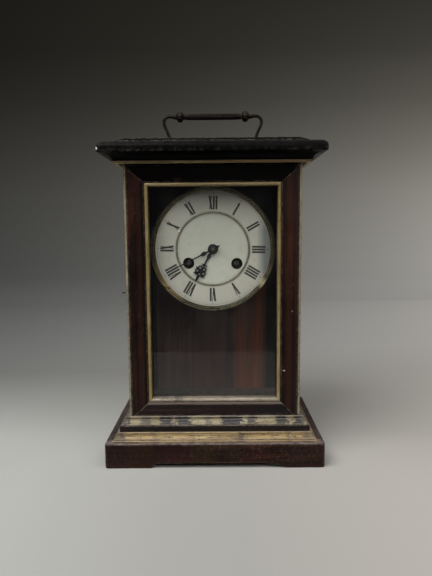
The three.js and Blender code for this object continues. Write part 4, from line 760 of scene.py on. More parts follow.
gilt_sight_bottom = gilt(
    "gilt_sight_bottom", 0, gold=(0.34, 0.29, 0.19), pale=(0.50, 0.45, 0.36), brown=(0.20, 0.13, 0.095), worn=0.6,
    seed=8.0,
    metallic=0.1, dust=0.35, flecks=0.9, streaks=0.6, flank_painted_shade=0.5, patches=(
        (-40.0, 5.0, (0.05, 0.042, 0.03), 0.9), (-56.0, 3.0, (0.08, 0.06, 0.05), 0.7),
        (-24.0, 3.0, (0.24, 0.13, 0.10), 0.6),
        (12.0, 3.0, (0.20, 0.14, 0.10), 0.6), (50.0, 4.0, (0.12, 0.10, 0.08), 0.6)))
# The bezel's faces that look up carry painted shade, and its spots are painted highlights, the brightest at the lower
# right.
bezel_metal = metal(
    "bezel_metal", (0.070, 0.056, 0.032), (0.042, 0.035, 0.022), rough=0.28, amount=0.45, scale=70, seed=1.0,
    metallic=0.7, edge=(0.20, 0.155, 0.085), up_painted_shade=0.85,
    spots=[((DIAL_X + x, DIAL_FACE, DIAL_Z + z), radius, tone) for x, z, radius, tone in (
        (-62.0, -25.0, 14.0, (0.24, 0.165, 0.075)), (-53.0, -40.0, 14.0, (0.34, 0.235, 0.105)),
        (-43.0, -50.5, 11.0, (0.20, 0.14, 0.065)), (57.0, -39.0, 8.0, (0.70, 0.58, 0.36)),
        (64.0, -26.0, 9.0, (0.20, 0.16, 0.10)))])
handle_metal = metal("handle_metal", (0.006, 0.0045, 0.004), (0.003, 0.0025, 0.0025), rough=0.42, amount=0.5, scale=160,
                     seed=2.0, metallic=0.1, edge=(0.036, 0.026, 0.020), specular=0.10)
dark_pin = metal("dark_pin", (0.045, 0.036, 0.026), (0.018, 0.015, 0.012), rough=0.5, amount=0.5, scale=300, seed=12.0,
                 metallic=0.6)
brass = metal("brass", (0.52, 0.38, 0.15), (0.25, 0.18, 0.08), rough=0.3, amount=0.4, scale=60, seed=3.0)
brass_wheel = metal("brass_wheel", (0.60, 0.45, 0.19), (0.32, 0.23, 0.10), rough=0.28, amount=0.25, scale=80, seed=4.0)
plate_dark = metal("plate_dark", (0.075, 0.052, 0.028), (0.030, 0.022, 0.018), rough=0.5, amount=0.6, scale=130,
                   seed=9.0,
                   metallic=0.5)
steel = metal("steel", (0.36, 0.36, 0.37), (0.16, 0.14, 0.13), rough=0.3, amount=0.35, scale=90, seed=5.0)
spring_steel = metal("spring_steel", (0.20, 0.21, 0.24), (0.08, 0.08, 0.10), rough=0.3, amount=0.3, scale=90, seed=6.0)
blued = metal("blued", (0.012, 0.014, 0.018), (0.03, 0.024, 0.02), rough=0.42, amount=0.3, scale=200, seed=7.0,
              metallic=0.3)
arbor_steel = metal("arbor_steel", (0.22, 0.20, 0.18), (0.07, 0.05, 0.04), rough=0.4, amount=0.6, scale=200, seed=8.0)


def dial_material():
    """A pale silvered dial, greyer and darker towards its rim, with painted shade at the bezel's inner edge and below
    its top, and a painted reflection with shade at the right.
    """
    n = Nodes("dial_silvering")
    centre = n.add("ShaderNodeVectorMath", operation="SUBTRACT")
    n.link(n.coords, centre.inputs[0])
    centre.inputs[1].default_value = (DIAL_X * MM, DIAL_FACE * MM, DIAL_Z * MM)
    length = n.add("ShaderNodeVectorMath", operation="LENGTH")
    n.link(centre.outputs[0], length.inputs[0])
    radius = length.outputs["Value"]
    cloud = n.noise(34, 5, 0.6, 0.3)
    mottled = n.noise(160, 5, 0.65, 0.2, (3, 1, 2))
    base = n.ramp(cloud, [(0.3, (0.44, 0.43, 0.37)), (0.55, (0.49, 0.48, 0.42)), (0.75, (0.53, 0.52, 0.46))])
    ring = n.mask(radius, 0.0413, 0.0415)
    base = n.mix(n.times(ring, 0.6), base, (0.46, 0.42, 0.37))
    base = n.mix(n.times(n.mask(mottled, 0.56, 0.74), 0.3), base, (0.30, 0.28, 0.23))
    rim = n.mask(radius, 0.0555, 0.0665)
    base = n.mix(n.times(rim, 0.35), base, (0.27, 0.26, 0.23))
    groove = n.math("MULTIPLY", n.mask(radius, 0.0375, 0.0405), n.mask(radius, 0.0445, 0.0420))
    base = n.mix(n.times(groove, 0.45), base, (0.20, 0.18, 0.13))
    # Painted shade: a dark ring where the dial meets the bezel's inner edge.
    painted_bezel_shade = n.mask(radius, 0.0655, 0.0663)
    base = n.mix(n.times(painted_bezel_shade, 0.9), base, (0.03, 0.025, 0.02))
    x, z = n.axis(0), n.axis(2)
    # Painted light: a cooler, darker crescent at the right, painted as the glass's reflection with the bezel's shade,
    # and a grey painted shadow below the top of the bezel.
    painted_reflection_and_shade = n.times(n.mask(x, 0.049, 0.058), n.mask(z, 0.196, 0.215), n.mask(z, 0.277, 0.258))
    base = n.mix(n.times(painted_reflection_and_shade, 0.85), base, (0.12, 0.13, 0.13))
    shade = n.times(n.mask(radius, 0.052, 0.066), n.mask(z, 0.272, 0.300))
    base = n.mix(n.times(shade, 0.15), base, (0.20, 0.20, 0.18))
    foxing = n.times(n.mask(n.cells(330, (5, 1, 2)), 0.13, 0.07), n.mask(mottled, 0.5, 0.6))
    base = n.mix(n.times(foxing, 0.5), base, (0.16, 0.14, 0.11))
    chip = n.near((-38.5, DIAL_FACE, 258.5), 1.6, 0.5)
    base = n.mix(chip, base, (0.75, 0.72, 0.64))
    return n.finish(base, n.ramp(mottled, [(0.3, 0.42), (0.7, 0.58)]), mottled, bump=0.06, distance=0.0002,
                    specular=0.4)


def ink_material():
    n = Nodes("dial_ink")
    cloud = n.noise(400, 4, 0.6)
    base = n.ramp(cloud, [(0.3, (0.012, 0.012, 0.012)), (0.7, (0.035, 0.033, 0.03))])
    return n.finish(base, 0.5, cloud, bump=0.05, distance=0.0001)


def glass_material():
    """Old window glass: clear, lightly dusty, with a smear near its lower left corner."""
    n = Nodes("window_glass")
    haze = n.noise((60, 60, 25), 4, 0.6, 0.5)
    smear = n.noise((55, 60, 260), 4, 0.7, 1.4, (2, 0, 5))
    corner = n.near((-44.0, GLASS_FRONT, 79.0), 22.0, 0.8)
    bits = n.times(n.mask(n.cells(140, (4, 0, 7)), 0.085, 0.05), n.mask(n.noise(50, 2, 0.5, 0, (9, 1, 4)), 0.5, 0.6))
    streaks = n.times(n.mask(smear, 0.52, 0.66), corner)
    n.finish((0.96, 0.98, 0.97), 0.02, haze, bump=0.02, distance=0.0002, specular=0.5)
    n.shader.inputs["Transmission Weight"].default_value = 1.0
    n.shader.inputs["IOR"].default_value = 1.4
    dust = n.plain_shader("ShaderNodeBsdfDiffuse", (0.55, 0.56, 0.52))
    clear = n.plain_shader("ShaderNodeBsdfTransparent", (0.93, 0.95, 0.94))
    veil = n.math("ADD", n.times(streaks, 0.10), n.times(n.mask(haze, 0.4, 0.8), 0.012))
    dusty = n.choose(n.math("ADD", veil, n.times(bits, 0.10)), n.shader.outputs[0], dust)
    shadow = n.add("ShaderNodeLightPath").outputs["Is Shadow Ray"]
    return n.show(n.choose(shadow, dusty, clear))


back_board_wood = back_board_material()
dial_silvering = dial_material()
dial_ink = ink_material()
window_glass = glass_material()

# ------------------------------------------------------------------ plinth and base

plinth_low, plinth_high = node_box("plinth_front")
# The lower edge of the plinth's front board, as (x, z). The arch is uneven.
ARCH = ((-70.4, 0.0), (-64.5, 5.2), (54.3, 5.2), (70.4, 3.12), (77.4, 0.0))


def arch_bottom(x):
    for (x0, z0), (x1, z1) in zip(ARCH, ARCH[1:]):
        if x0 <= x <= x1:
            return z0 + (z1 - z0) * (x - x0) / (x1 - x0)
    return 0.0


plinth_front = bar(
    "plinth_front_board", 0, (plinth_low[0], plinth_high[0]),
    lambda x: (plinth_low[1], plinth_high[1], arch_bottom(x), PLINTH_TOP),
    radius=0.8, step=2.2, hold=1.4, seed=3.0, end_radius=3.0,
)
dress(plinth_front, "case", plinth_wood, "mahogany", "plinth_front")
for side, hand in HANDS:
    plain_board("plinth_" + hand, 1, plinth_side_wood, radius=0.8, step=4.0, seed=5.0 + side, end_radius=0.4)
plain_board("plinth_back", 0, inner_wood, radius=0.5, step=8.0, seed=9.0)

SHADED_GROOVE = -1.0                             # wear below 0 marks a groove, where the gilding is painted dark as shade
lower_profile = [
    (-8.0, PLINTH_TOP, 0.0),
    (16.4, PLINTH_TOP, 0.0),
    (16.7, PLINTH_TOP + 0.3, 0.4),
    (16.7, PLINTH_TOP + 1.1, 0.5),
    (16.2, PLINTH_TOP + 1.5, 0.8),
    (15.3, PLINTH_TOP + 1.65, 0.0),
    (15.0, PLINTH_TOP + 1.8, SHADED_GROOVE),
    (15.0, PLINTH_TOP + 2.35, SHADED_GROOVE),
    (15.5, PLINTH_TOP + 2.6, 0.2),
    *arc(16.4, 35.5, 5.2, 5.8, 255, 190, 8, 0.0),
    (11.0, 34.75, SHADED_GROOVE * 0.6),
    (11.0, 35.05, SHADED_GROOVE * 0.6),
    (11.6, 35.2, 0.3),
    (11.6, 35.8, 0.5),
    (11.2, 36.15, 0.8),
    (10.0, FLOOR_BOTTOM, 0.3),
    (-8.0, FLOOR_BOTTOM, 0.0),
]
dress(case_moulding("base_moulding_lower_gilt", lower_profile, seed=2.0), "case", gilt_lower, "gilt_wood",
      "base_moulding_lower")
def case_board(name, levels, back, top):
    """A board across the case whose left, front and right edges show. levels are (overhang, z, wear)."""
    rings, wears = [], []
    for o, z, w in levels:
        corners = round_case(o, back)
        ring = []
        for k in range(4):
            a, b = corners[k], corners[(k + 1) % 4]
            for s in stations(0, 1, 5.0 / 200)[:-1]:
                x, y = a[0] + (b[0] - a[0]) * s, a[1] + (b[1] - a[1]) * s
                dz = 0.14 * wobble(x, y, z, 0.14) * (1 if 0.05 < s < 0.95 and w > 0.2 else 0)
                ring.append((x, min(y, back), min(z + dz, top)))
        rings.append(ring)
        wears.append([w] * len(ring))
    return new_object(name, *loft(rings, wears))


low, high = node_box("case_floor")
FLOOR_OUT = -low[0] - BODY
floor_levels = [(FLOOR_OUT + o, z, w) for o, z, w in (
    (-2.0, FLOOR_BOTTOM, 0.0), (-0.4, FLOOR_BOTTOM, 0.2), (0, FLOOR_BOTTOM + 0.4, 0.3), (0, FLOOR_BOTTOM + 1.6, 0.0),
    (0, FLOOR_TOP - 1.6, 0.0), (-0.05, FLOOR_TOP - 0.5, 0.3), (-0.25, FLOOR_TOP - 0.12, 1.0),
    (-0.7, FLOOR_TOP, 0.9), (-2.4, FLOOR_TOP, 0.1),
)]
dress(case_board("case_floor_board", floor_levels, high[1], FLOOR_TOP), "case", floor_wood, "ebonised_wood",
      "case_floor")

upper_profile = [
    (-8.0, FLOOR_TOP, 0.0),
    (7.3, FLOOR_TOP, 0.0),
    (7.5, FLOOR_TOP + 0.3, 0.4),
    (7.4, FLOOR_TOP + 0.8, 0.7),
    (6.8, FLOOR_TOP + 1.1, 0.3),
    (6.5, FLOOR_TOP + 1.25, SHADED_GROOVE * 0.6),
    (6.5, FLOOR_TOP + 1.6, SHADED_GROOVE * 0.6),
    *arc(7.4, FLOOR_TOP + 6.5, 4.6, 4.8, 255, 204, 6, 0.0),
    (2.0, FLOOR_TOP + 4.75, 0.0),
    (1.1, FLOOR_TOP + 4.9, SHADED_GROOVE),
    (1.1, FLOOR_TOP + 7.0, SHADED_GROOVE),
    (2.0, FLOOR_TOP + 7.1, 0.3),
    (2.4, FLOOR_TOP + 7.35, 0.8),
    (2.2, BASE_TOP - 0.15, 0.9),
    (1.2, BASE_TOP, 0.4),
    (-8.0, BASE_TOP, 0.0),
]
dress(case_moulding("base_moulding_upper_gilt", upper_profile, seed=6.0), "case", gilt_upper, "gilt_wood",
      "base_moulding_upper")

# ------------------------------------------------------------------ body, cornice and crown

for side, hand in HANDS:
    plain_board("case_side_" + hand, 2, side_wood, radius=0.5, step=9.0, seed=11.0 + side, end_radius=0.2)

UNDER = 332.0                             # the cornice's underside
cornice_profile = [
    (-8.0, CORNICE_BOTTOM, 0.0),
    (2.5, CORNICE_BOTTOM, 0.0),
    (2.8, CORNICE_BOTTOM + 0.3, 0.3),
    (2.8, UNDER, 0.0),
    (8.6, UNDER, 0.1),
    (9.2, UNDER + 0.1, 0.7),
    *arc(22.2, UNDER + 0.2, 13.0, 7.1, 180, 92, 9, 0.0),
    (22.1, 339.4, 0.5),
    (22.3, 339.9, 1.0),
    (22.3, 340.8, 0.4),
    (22.3, 343.0, 0.2),
    *arc(14.1, 343.9, 8.2, 6.4, 4, 88, 9, 0.1),
    (14.0, CORNICE_TOP - 0.15, 0.9),
    (12.0, CORNICE_TOP, 0.6),
    (6.0, CORNICE_TOP, 0.1),
    (-8.0, CORNICE_TOP, 0.0),
]
dress(case_moulding("cornice_black", cornice_profile, seed=8.0, rough=0.16, corner_wear=0.8), "case", cornice_wood,
      "ebonised_wood", "cornice")
bead_profile = [(o, z, 0.8 if abs(o - 6.0) < 1.6 else 0.0) for o, z, _ in arc(6.0, 331.7, 2.9, 2.7, 180, 360, 10)]
dress(case_moulding("cornice_bead_gilt", bead_profile, seed=10.0, rough=0.08, corner_wear=0.0), "case", gilt_cornice,
      "gilt_wood", "cornice_bead")

crown_levels = [
    (5.7, 350.5, 0.0), (6.0, 350.8, 0.3), (6.0, 352.2, 0.3), (5.7, 352.6, 1.0), (3.2, 353.7, 0.2), (1.6, 354.5, 0.0),
    (-1.2, 355.7, 0.0), (-2.9, 356.6, 0.8), (-3.6, 356.85, 1.0), (-5.2, CROWN_TOP, 0.2), (-9.0, CROWN_TOP, 0.0),
]
dress(case_board("crown_board_black", crown_levels, BACK, CROWN_TOP), "case", crown_wood, "ebonised_wood",
      "crown_board")
paint("back_board", back_board_wood)

# ------------------------------------------------------------------ door

GAP = 0.12                                # between a rail's end and the stile beside it


def door_board(name, section, ends, near, step, ripple, upright):
    """A board of the door's frame. The section is (across, y, wear), and ends(across, y) gives its two ends.
    near are the first three shares of its length; the ends up to the second are rubbed."""
    shares = near + [s for s in stations(0, 1, step) if near[2] < s < 1 - near[2]] + [1 - s for s in reversed(near)]
    rings, wears = [], []
    for s in shares:
        tip = min(s, 1 - s)
        ring = []
        for across, y, w in section:
            start, end = ends(across, y)
            along = start + (end - start) * s
            x, z = (across, along) if upright else (along, across)
            shake = ripple * wobble(x, y, z, 0.1) * (1 if w > 0.2 else 0)
            sunk = y + (0.25 if tip == 0.0 and y < FRONT + 0.1 else 0.0)
            ring.append((x + shake, sunk, z) if upright else (x, sunk, z + shake))
        rings.append(ring)
        wears.append([max(w, 1.0 if tip < near[2] else 0.0) for _, _, w in section])
    return new_object(name, *loft(rings, wears), sharp=50)


def stile_ends(x, _):
    """A stile's mitred ends, on the slants from the corners of the opening."""
    inward = max(abs(x) - SIGHT, 0.0)
    low = SIGHT_BOTTOM - min(inward, SIGHT_BOTTOM - DOOR_BOTTOM)
    high = SIGHT_TOP - 0.2 + min(inward, BODY - SIGHT) * (DOOR_TOP - SIGHT_TOP) / (BODY - SIGHT)
    return low, high


def door_stile(side, name):
    """A stile with a rebate for the gilt bead at its outer front corner."""
    outer, inner = side * BODY, side * SIGHT
    step = side * (BODY - 3.2)
    rebate = FRONT + 3.2
    section = [
        (inner, DOOR_BACK, 0.1), (outer - side * 0.4, DOOR_BACK, 0.3), (outer, DOOR_BACK - 0.4, 0.5),
        (outer, rebate + 0.3, 0.3), (outer - side * 0.2, rebate, 0.4), (step, rebate, 0.0), (step, FRONT + 0.35, 0.3),
        (step - side * 0.3, FRONT, 0.8), (step - side * 1.2, FRONT, 0.0), (step - side * 6, FRONT, 0.0),
        (side * (SIGHT + 11), FRONT, 0.0), (side * (SIGHT + 6), FRONT, 0.0), (inner + side * 1.4, FRONT, 0.0),
        (inner + side * 0.4, FRONT, 0.6), (inner, FRONT + 0.4, 0.6), (inner, FRONT + 1.4, 0.0),
    ]
    return door_board(name, section, stile_ends, [0.0, 0.0009, 0.004], 1 / 60, 0.06, upright=True)


for side, hand in HANDS:
    dress(door_stile(side, f"door_stile_{hand}_wood"), "door", stile_wood, "mahogany", f"door_stile_{hand}")


def door_rail(top, name):
    inner = SIGHT_TOP if top else SIGHT_BOTTOM
    outer = DOOR_TOP if top else DOOR_BOTTOM
    slope = (BODY - SIGHT) / (DOOR_TOP - SIGHT_TOP) if top else 1.0
    sign = 1 if top else -1

    def ends(z, y):
        limit = BODY - 3.5 if top and y < FRONT + 3.3 else BODY
        reach = min(SIGHT + (z - inner) * sign * slope - GAP, limit)
        return -reach, reach

    section = [
        (inner, DOOR_BACK, 0.1), (outer - sign * 0.3, DOOR_BACK, 0.2), (outer, DOOR_BACK - 0.3, 0.3),
        (outer, FRONT + 0.5, 0.4), (outer - sign * 0.5, FRONT, 0.9), (outer - sign * 1.5, FRONT, 0.0),
        ((inner + outer) / 2, FRONT, 0.0), (inner + sign * 1.4, FRONT, 0.0), (inner + sign * 0.4, FRONT, 0.6),
        (inner, FRONT + 0.4, 0.6), (inner, FRONT + 1.4, 0.0),
    ]
    return door_board(name, section, ends, [0.0, 0.0016, 0.006], 1 / 46, 0.05, upright=False)


dress(door_rail(True, "door_rail_top_wood"), "door", rail_top_wood, "mahogany", "door_rail_top")
dress(door_rail(False, "door_rail_bottom_wood"), "door", rail_bottom_wood, "mahogany", "door_rail_bottom")


def door_bead(side, name):
    """A quarter-round gilt strip in the stile's outer front corner."""
    inner, back = BODY - 3.0, FRONT + 3.0
    section = [(inner, back, 0.0), (BODY - 0.3, back, 0.0), (BODY, back - 0.3, 0.2), (BODY, back - 0.6, 0.3)]
    section += [(inner + 0.4 + 2.6 * math.cos(a), back - 0.4 - 2.6 * math.sin(a), 0.7)
                for a in (math.radians(10 * k) for k in range(1, 9))]
    section += [(inner + 0.5, FRONT, 0.3), (inner, FRONT + 0.3, 0.0)]
    rings = []
    for z in stations(DOOR_BOTTOM, DOOR_TOP, 3.0):
        ring = []
        for x, y, w in section:
            nick = 0.1 * wobble(x, y, z, 0.25) + 0.06 * wobble(x, y, z, 0.9)
            pull = nick if w > 0.1 else 0.0
            ring.append((side * min(BODY, x + pull), max(FRONT, y - pull), z))
        rings.append(ring)
    wears = [[w for _, _, w in section]] * len(rings)
    return new_object(name, *loft(rings, wears), sharp=50)


for (side, hand), gilding in zip(HANDS, (gilt_bead, gilt_bead_right)):
    dress(door_bead(side, f"door_bead_{hand}_gilt"), "door", gilding, "gilt_wood", f"door_bead_{hand}")


def sight_bead():
    """The gilt bead round the glass: a rounded nose with a narrow flat beside it."""
    front = FRONT - 0.8
    back = GLASS_FRONT - 0.3
    nose = [(0.3 + 2.1 - 2.1 * math.cos(a), front + 2.1 - 2.1 * math.sin(a), 0.7 if 0.5 < a < 2.6 else 0.1)
            for a in (math.radians(15 * k) for k in range(0, 13))]
    section = nose + [(4.5, back, 0.0), (0.3, back, 0.0)]
    corners = [(-1, 0), (1, 0), (1, 1), (-1, 1)]
    rings, wears = [], []
    for index in range(4):
        (sx, up), (tx, tup) = corners[index], corners[(index + 1) % 4]
        count = 42 if index % 2 == 0 else 66
        for k in range(count):
            s = k / count
            ring, worn = [], []
            for inset, y, w in section:
                z0, z1 = SIGHT_BOTTOM + inset, SIGHT_TOP - inset
                a = Vector((sx * (SIGHT - inset), y, z1 if up else z0))
                b = Vector((tx * (SIGHT - inset), y, z1 if tup else z0))
                p = a.lerp(b, s)
                if k:
                    p.y += max(-0.02, 0.07 * wobble(p.x, p.y, p.z, 0.3)) if w > 0.2 else 0.0
                ring.append(tuple(p))
                worn.append(w)
            rings.append(ring)
            wears.append(worn)
    return new_object("sight_bead_gilt", *loft(rings, wears, closed_path=True), sharp=50)


bead = sight_bead()
dress(bead, "door", gilt_sight, "gilt_wood", "sight_bead")
bead.data.materials.append(gilt_sight_top)
bead.data.materials.append(gilt_sight_bottom)
for polygon in bead.data.polygons:
    x, z = polygon.center.x / MM, polygon.center.z / MM
    beyond = SIGHT - abs(x)
    if SIGHT_TOP - z < beyond:
        polygon.material_index = 1
    elif z - SIGHT_BOTTOM < beyond:
        polygon.material_index = 2
paint("door_glass", window_glass)

# ------------------------------------------------------------------ dial, bezel and hands


def dial_point(x, z):
    """A point of the dial, turned with the movement."""
    return (DIAL_X + x * math.cos(TWIST) + z * math.sin(TWIST), DIAL_Z - x * math.sin(TWIST) + z * math.cos(TWIST))


BEZEL_RADIUS = span("bezel", 0)[1] - DIAL_X
bezel_profile = [(r, BEZEL_FRONT + depth, w) for r, depth, w in (
    (65.4, 2.2, 0), (65.4, 1.7, 0.4), (65.5, 1.35, 0.6), (65.8, 1.1, 0.3), (66.2, 1.05, 0), (66.5, 0.75, 0.2),
    (67.0, 0.3, 0.7), (67.5, 0.1, 1), (68.0, 0.25, 0.6), (68.4, 0.6, 0.1), (68.6, 0.72, 0), (68.9, 0.5, 0.1),
    (69.4, 0.2, 0.3), (70.0, 0.05, 0.5), (70.5, 0.3, 0.3), (BEZEL_RADIUS - 0.3, 1.0, 0.1),
    (BEZEL_RADIUS - 0.05, 1.9, 0), (BEZEL_RADIUS, 3.0, 0), (BEZEL_RADIUS, 5.8, 0), (BEZEL_RADIUS - 0.2, 6.0, 0),
    (68.5, 6.0, 0), (68.35, 2.2, 0),
)]
dress(lathe("bezel_brass", bezel_profile, (DIAL_X, 0, DIAL_Z), 160), "case", bezel_metal, "brass", "bezel")
paint("dial_plate", dial_silvering)

ring_profile = [(r, DIAL_FACE + depth, w) for r, depth, w in (
    (40.2, 0.01, 0), (40.3, -0.3, 0.2), (40.8, -0.6, 0.5), (41.3, -0.7, 1), (41.8, -0.6, 0.5), (42.3, -0.3, 0.2),
    (42.4, 0.01, 0),
)]
ring_metal = metal("dial_ring_metal", (0.16, 0.15, 0.11), (0.075, 0.07, 0.05), rough=0.42, amount=0.6, scale=120,
                   seed=11.0, metallic=0.6, edge=(0.30, 0.27, 0.2))
dress(lathe("dial_ring", ring_profile, (DIAL_X, 0, DIAL_Z), 128), "case", ring_metal, "silvered_dial")


def flat_strips(name, polygons, y_front, y_back):
    """Thin flat shapes on the dial: each polygon is a list of (x, z) in the dial's own frame."""
    points, faces = [], []
    for polygon in polygons:
        base = len(points)
        n = len(polygon)
        for y in (y_front, y_back):
            for x, z in polygon:
                px, pz = dial_point(x, z)
                points.append((px, y, pz))
        faces.append(tuple(base + k for k in range(n)))
        faces.append(tuple(base + n + k for k in reversed(range(n))))
        for k in range(n):
            faces.append((base + k, base + (k + 1) % n, base + n + (k + 1) % n, base + n + k))
    return new_object(name, points, faces, smooth=False)


def polar(radius, degrees):
    """Degrees clockwise from twelve."""
    a = math.radians(degrees)
    return radius * math.sin(a), radius * math.cos(a)


NUMERAL_IN, NUMERAL_OUT = 44.6, 59.8      # radii of a numeral's foot and top
STEM, HAIR, PITCH = 2.2, 0.8, 3.05        # widths of a thick stroke, a thin one and an I with its space
LEAN = {"X": 2.4, "V": 1.9}
WIDTH = {"I": PITCH, "V": 4.2, "X": 4.2}
DOT, DOT_RADIUS = 0.55, 62.2
TRACK_IN, TRACK_OUT = 63.55, 63.7         # radii of the minute track's line
TICK_IN, TICK_OUT, TICK_HALF = 62.7, 63.6, 0.09


def numeral_strokes(text):
    """Strokes as (start, end, width): start at the foot, end at the top, in (across, up) millimetres."""
    height = NUMERAL_OUT - NUMERAL_IN
    total = sum(WIDTH[c] for c in text)
    x = -total / 2
    strokes = []
    for c in text:
        w = WIDTH[c]
        mid = x + w / 2
        if c == "I":
            strokes.append(((mid, 0), (mid, height), STEM))
        elif c == "V":
            strokes.append(((mid + 0.25, 0), (mid - LEAN["V"] + 0.25, height), STEM))
            strokes.append(((mid + 0.45, 0), (mid + 1.6, height), HAIR))
        else:
            strokes.append(((mid + LEAN["X"] / 2, 0), (mid - LEAN["X"] / 2, height), STEM))
            strokes.append(((mid - 1.3, 0), (mid + 1.3, height), HAIR))
        x += w
    return strokes


polygons = []
for hour, text in enumerate(("XII", "I", "II", "III", "IIII", "V", "VI", "VII", "VIII", "IX", "X", "XI")):
    angle = math.radians(30 * hour)
    for (x0, z0), (x1, z1), width in numeral_strokes(text):
        corners = [(x0 - width / 2, z0), (x0 + width / 2, z0), (x1 + width / 2, z1), (x1 - width / 2, z1)]
        turned = []
        for x, z in corners:
            z += NUMERAL_IN
            turned.append((x * math.cos(angle) + z * math.sin(angle), -x * math.sin(angle) + z * math.cos(angle)))
        polygons.append(turned)
numerals = flat_strips("dial_numerals", polygons, DIAL_FACE - 0.05, DIAL_FACE + 0.02)
dress(numerals, "case", dial_ink, "blued_steel")

marks = []
for minute in range(0, 60, 5):
    cx, cz = polar(DOT_RADIUS, 6 * minute)
    marks.append([(cx + DOT * math.cos(k * math.pi / 5), cz + DOT * math.sin(k * math.pi / 5)) for k in range(10)])
for a, b, inner, outer in [(2 * k, 2 * k + 2, TRACK_IN, TRACK_OUT) for k in range(180)] + [
        (6 * minute - TICK_HALF, 6 * minute + TICK_HALF, TICK_IN, TICK_OUT) for minute in range(60)]:
    marks.append([polar(inner, a), polar(inner, b), polar(outer, b), polar(outer, a)])
dress(flat_strips("dial_minute_track", marks, DIAL_FACE - 0.04, DIAL_FACE + 0.02), "case", dial_ink, "blued_steel")


def curve_shape(name, loops, y, thickness, bevel):
    """A flat cut-out shape with its holes, from loops of (x, z), with softened edges."""
    data = bpy.data.curves.new(name, "CURVE")
    data.dimensions = "2D"
    data.fill_mode = "BOTH"
    data.extrude = (thickness / 2 - bevel) * MM
    data.bevel_depth = bevel * MM
    data.bevel_resolution = 1
    for loop in loops:
        spline = data.splines.new("POLY")
        spline.points.add(len(loop) - 1)
        for point, (x, z) in zip(spline.points, loop):
            point.co = (x * MM, z * MM, 0, 1)
        spline.use_cyclic_u = True
    obj = linked(name, data)
    obj.matrix_world = Matrix.Translation((0, y * MM, 0)) @ Matrix.Rotation(math.pi / 2, 4, "X")
    bpy.ops.object.select_all(action="DESELECT")
    obj.select_set(True)
    bpy.context.view_layer.objects.active = obj
    bpy.ops.object.convert(target="MESH")
    obj.data.transform(obj.matrix_world)
    obj.matrix_world = Matrix.Identity(4)
    for polygon in obj.data.polygons:
        polygon.use_smooth = False
    return obj


def circle(cx, cz, r, count):
    return [(cx + r * math.cos(2 * math.pi * k / count), cz + r * math.sin(2 * math.pi * k / count))
            for k in range(count)]


def lens(a, b, width):
    """A pointed leaf from a to b."""
    a, b = Vector(a), Vector(b)
    along, side = b - a, Vector((-(b - a).y, (b - a).x)).normalized()
    left = [a + along * t + side * width / 2 * math.sin(math.pi * t) ** 0.8 for t in [k / 10 for k in range(11)]]
    right = [a + along * t - side * width / 2 * math.sin(math.pi * t) ** 0.8 for t in [k / 10 for k in range(9, 0, -1)]]
    return [tuple(p) for p in left + right]


def hand_of(node, thickness, clock_angle, shapes):
    """A hand of flat shapes made pointing up, then turned to its angle on the dial's centre. A shape is its loops
    and its bevel."""
    y = middle(node, 1)
    parts = [curve_shape(f"{node}_{k}", loops, y, thickness * share, bevel)
             for k, (loops, bevel, share) in enumerate(shapes)]
    hand = joined(node + "_blued", parts)
    centre = Matrix.Translation((DIAL_X * MM, 0, DIAL_Z * MM))
    hand.data.transform(centre @ Matrix.Rotation(math.radians(clock_angle) + TWIST, 4, "Y"))
    return hand


def hour_hand():
    """An eyed root, a leaf, a cross bar, a rosette of five rings with points between them, and a leaf at the tip."""
    rosette = 28.6
    shapes = [
        ([circle(0, 0, 5.8, 36), circle(0, 0, 3.4, 24)], 0.12),
        ([lens((0, 4.5), (0, 13.5), 4.2)], 0.12),
        ([[(-1.0, 11.0), (1.0, 11.0), (0.8, 22.5), (-0.8, 22.5)]], 0.12),
        ([lens((-3.6, 20.6), (3.6, 20.6), 1.8)], 0.12),
    ]
    for k in range(5):
        a = math.radians(90 + 72 * k)
        cx, cz = 4.1 * math.cos(a), rosette + 4.1 * math.sin(a)
        shapes.append(([circle(cx, cz, 2.7, 20), circle(cx, cz, 1.4, 14)], 0.1))
        b = math.radians(126 + 72 * k)
        root, tip = ((r * math.cos(b), rosette + r * math.sin(b)) for r in (2.6, 8.0))
        if k not in (1, 2):
            shapes.append(([lens(root, tip, 1.7)], 0.1))
    shapes += [
        ([circle(0, rosette, 1.8, 16)], 0.1),
        ([lens((-7.0, 33.8), (-2.2, 31.4), 1.7)], 0.1),
        ([lens((7.0, 33.8), (2.2, 31.4), 1.7)], 0.1),
        ([lens((0, 32.5), (0, 42.0), 2.6)], 0.12),
    ]
    return hand_of("hour_hand", 0.62, 208.1, [(*shape, 1.0) for shape in shapes])


def minute_hand():
    return hand_of("minute_hand", 0.55, 242.4, [
        ([circle(0, 0, 5.4, 36), circle(0, 0, 2.7, 20)], 0.12, 1.0),
        ([circle(0, 0, 2.3, 20)], 0.1, 1.0),
        ([[(-2.6, 0.4), (2.6, 0.4), (2.6, -0.4), (-2.6, -0.4)]], 0.08, 0.8),
        ([[(4.6, -2.0), (2.4, -4.6), (1.2, -6.8), (0.0, -9.4), (-1.2, -6.8), (-2.4, -4.6), (-4.6, -2.0),
           (-2.2, -3.7), (0, -4.4), (2.2, -3.7)]], 0.12, 1.0),
        ([[(-1.0, 4.3), (1.0, 4.3), (0.65, 9.0), (-0.65, 9.0)]], 0.12, 1.0),
        ([lens((0, 7.4), (0, 16.0), 4.6)], 0.12, 1.0),
        ([[(-0.75, 13.6), (0.75, 13.6), (0.45, 50.0), (0, 57.0), (-0.45, 50.0)]], 0.08, 1.0),
    ])


dress(hour_hand(), "hour", blued, "blued_steel", "hour_hand")
dress(minute_hand(), "minute", blued, "blued_steel", "minute_hand")

# ------------------------------------------------------------------ handle


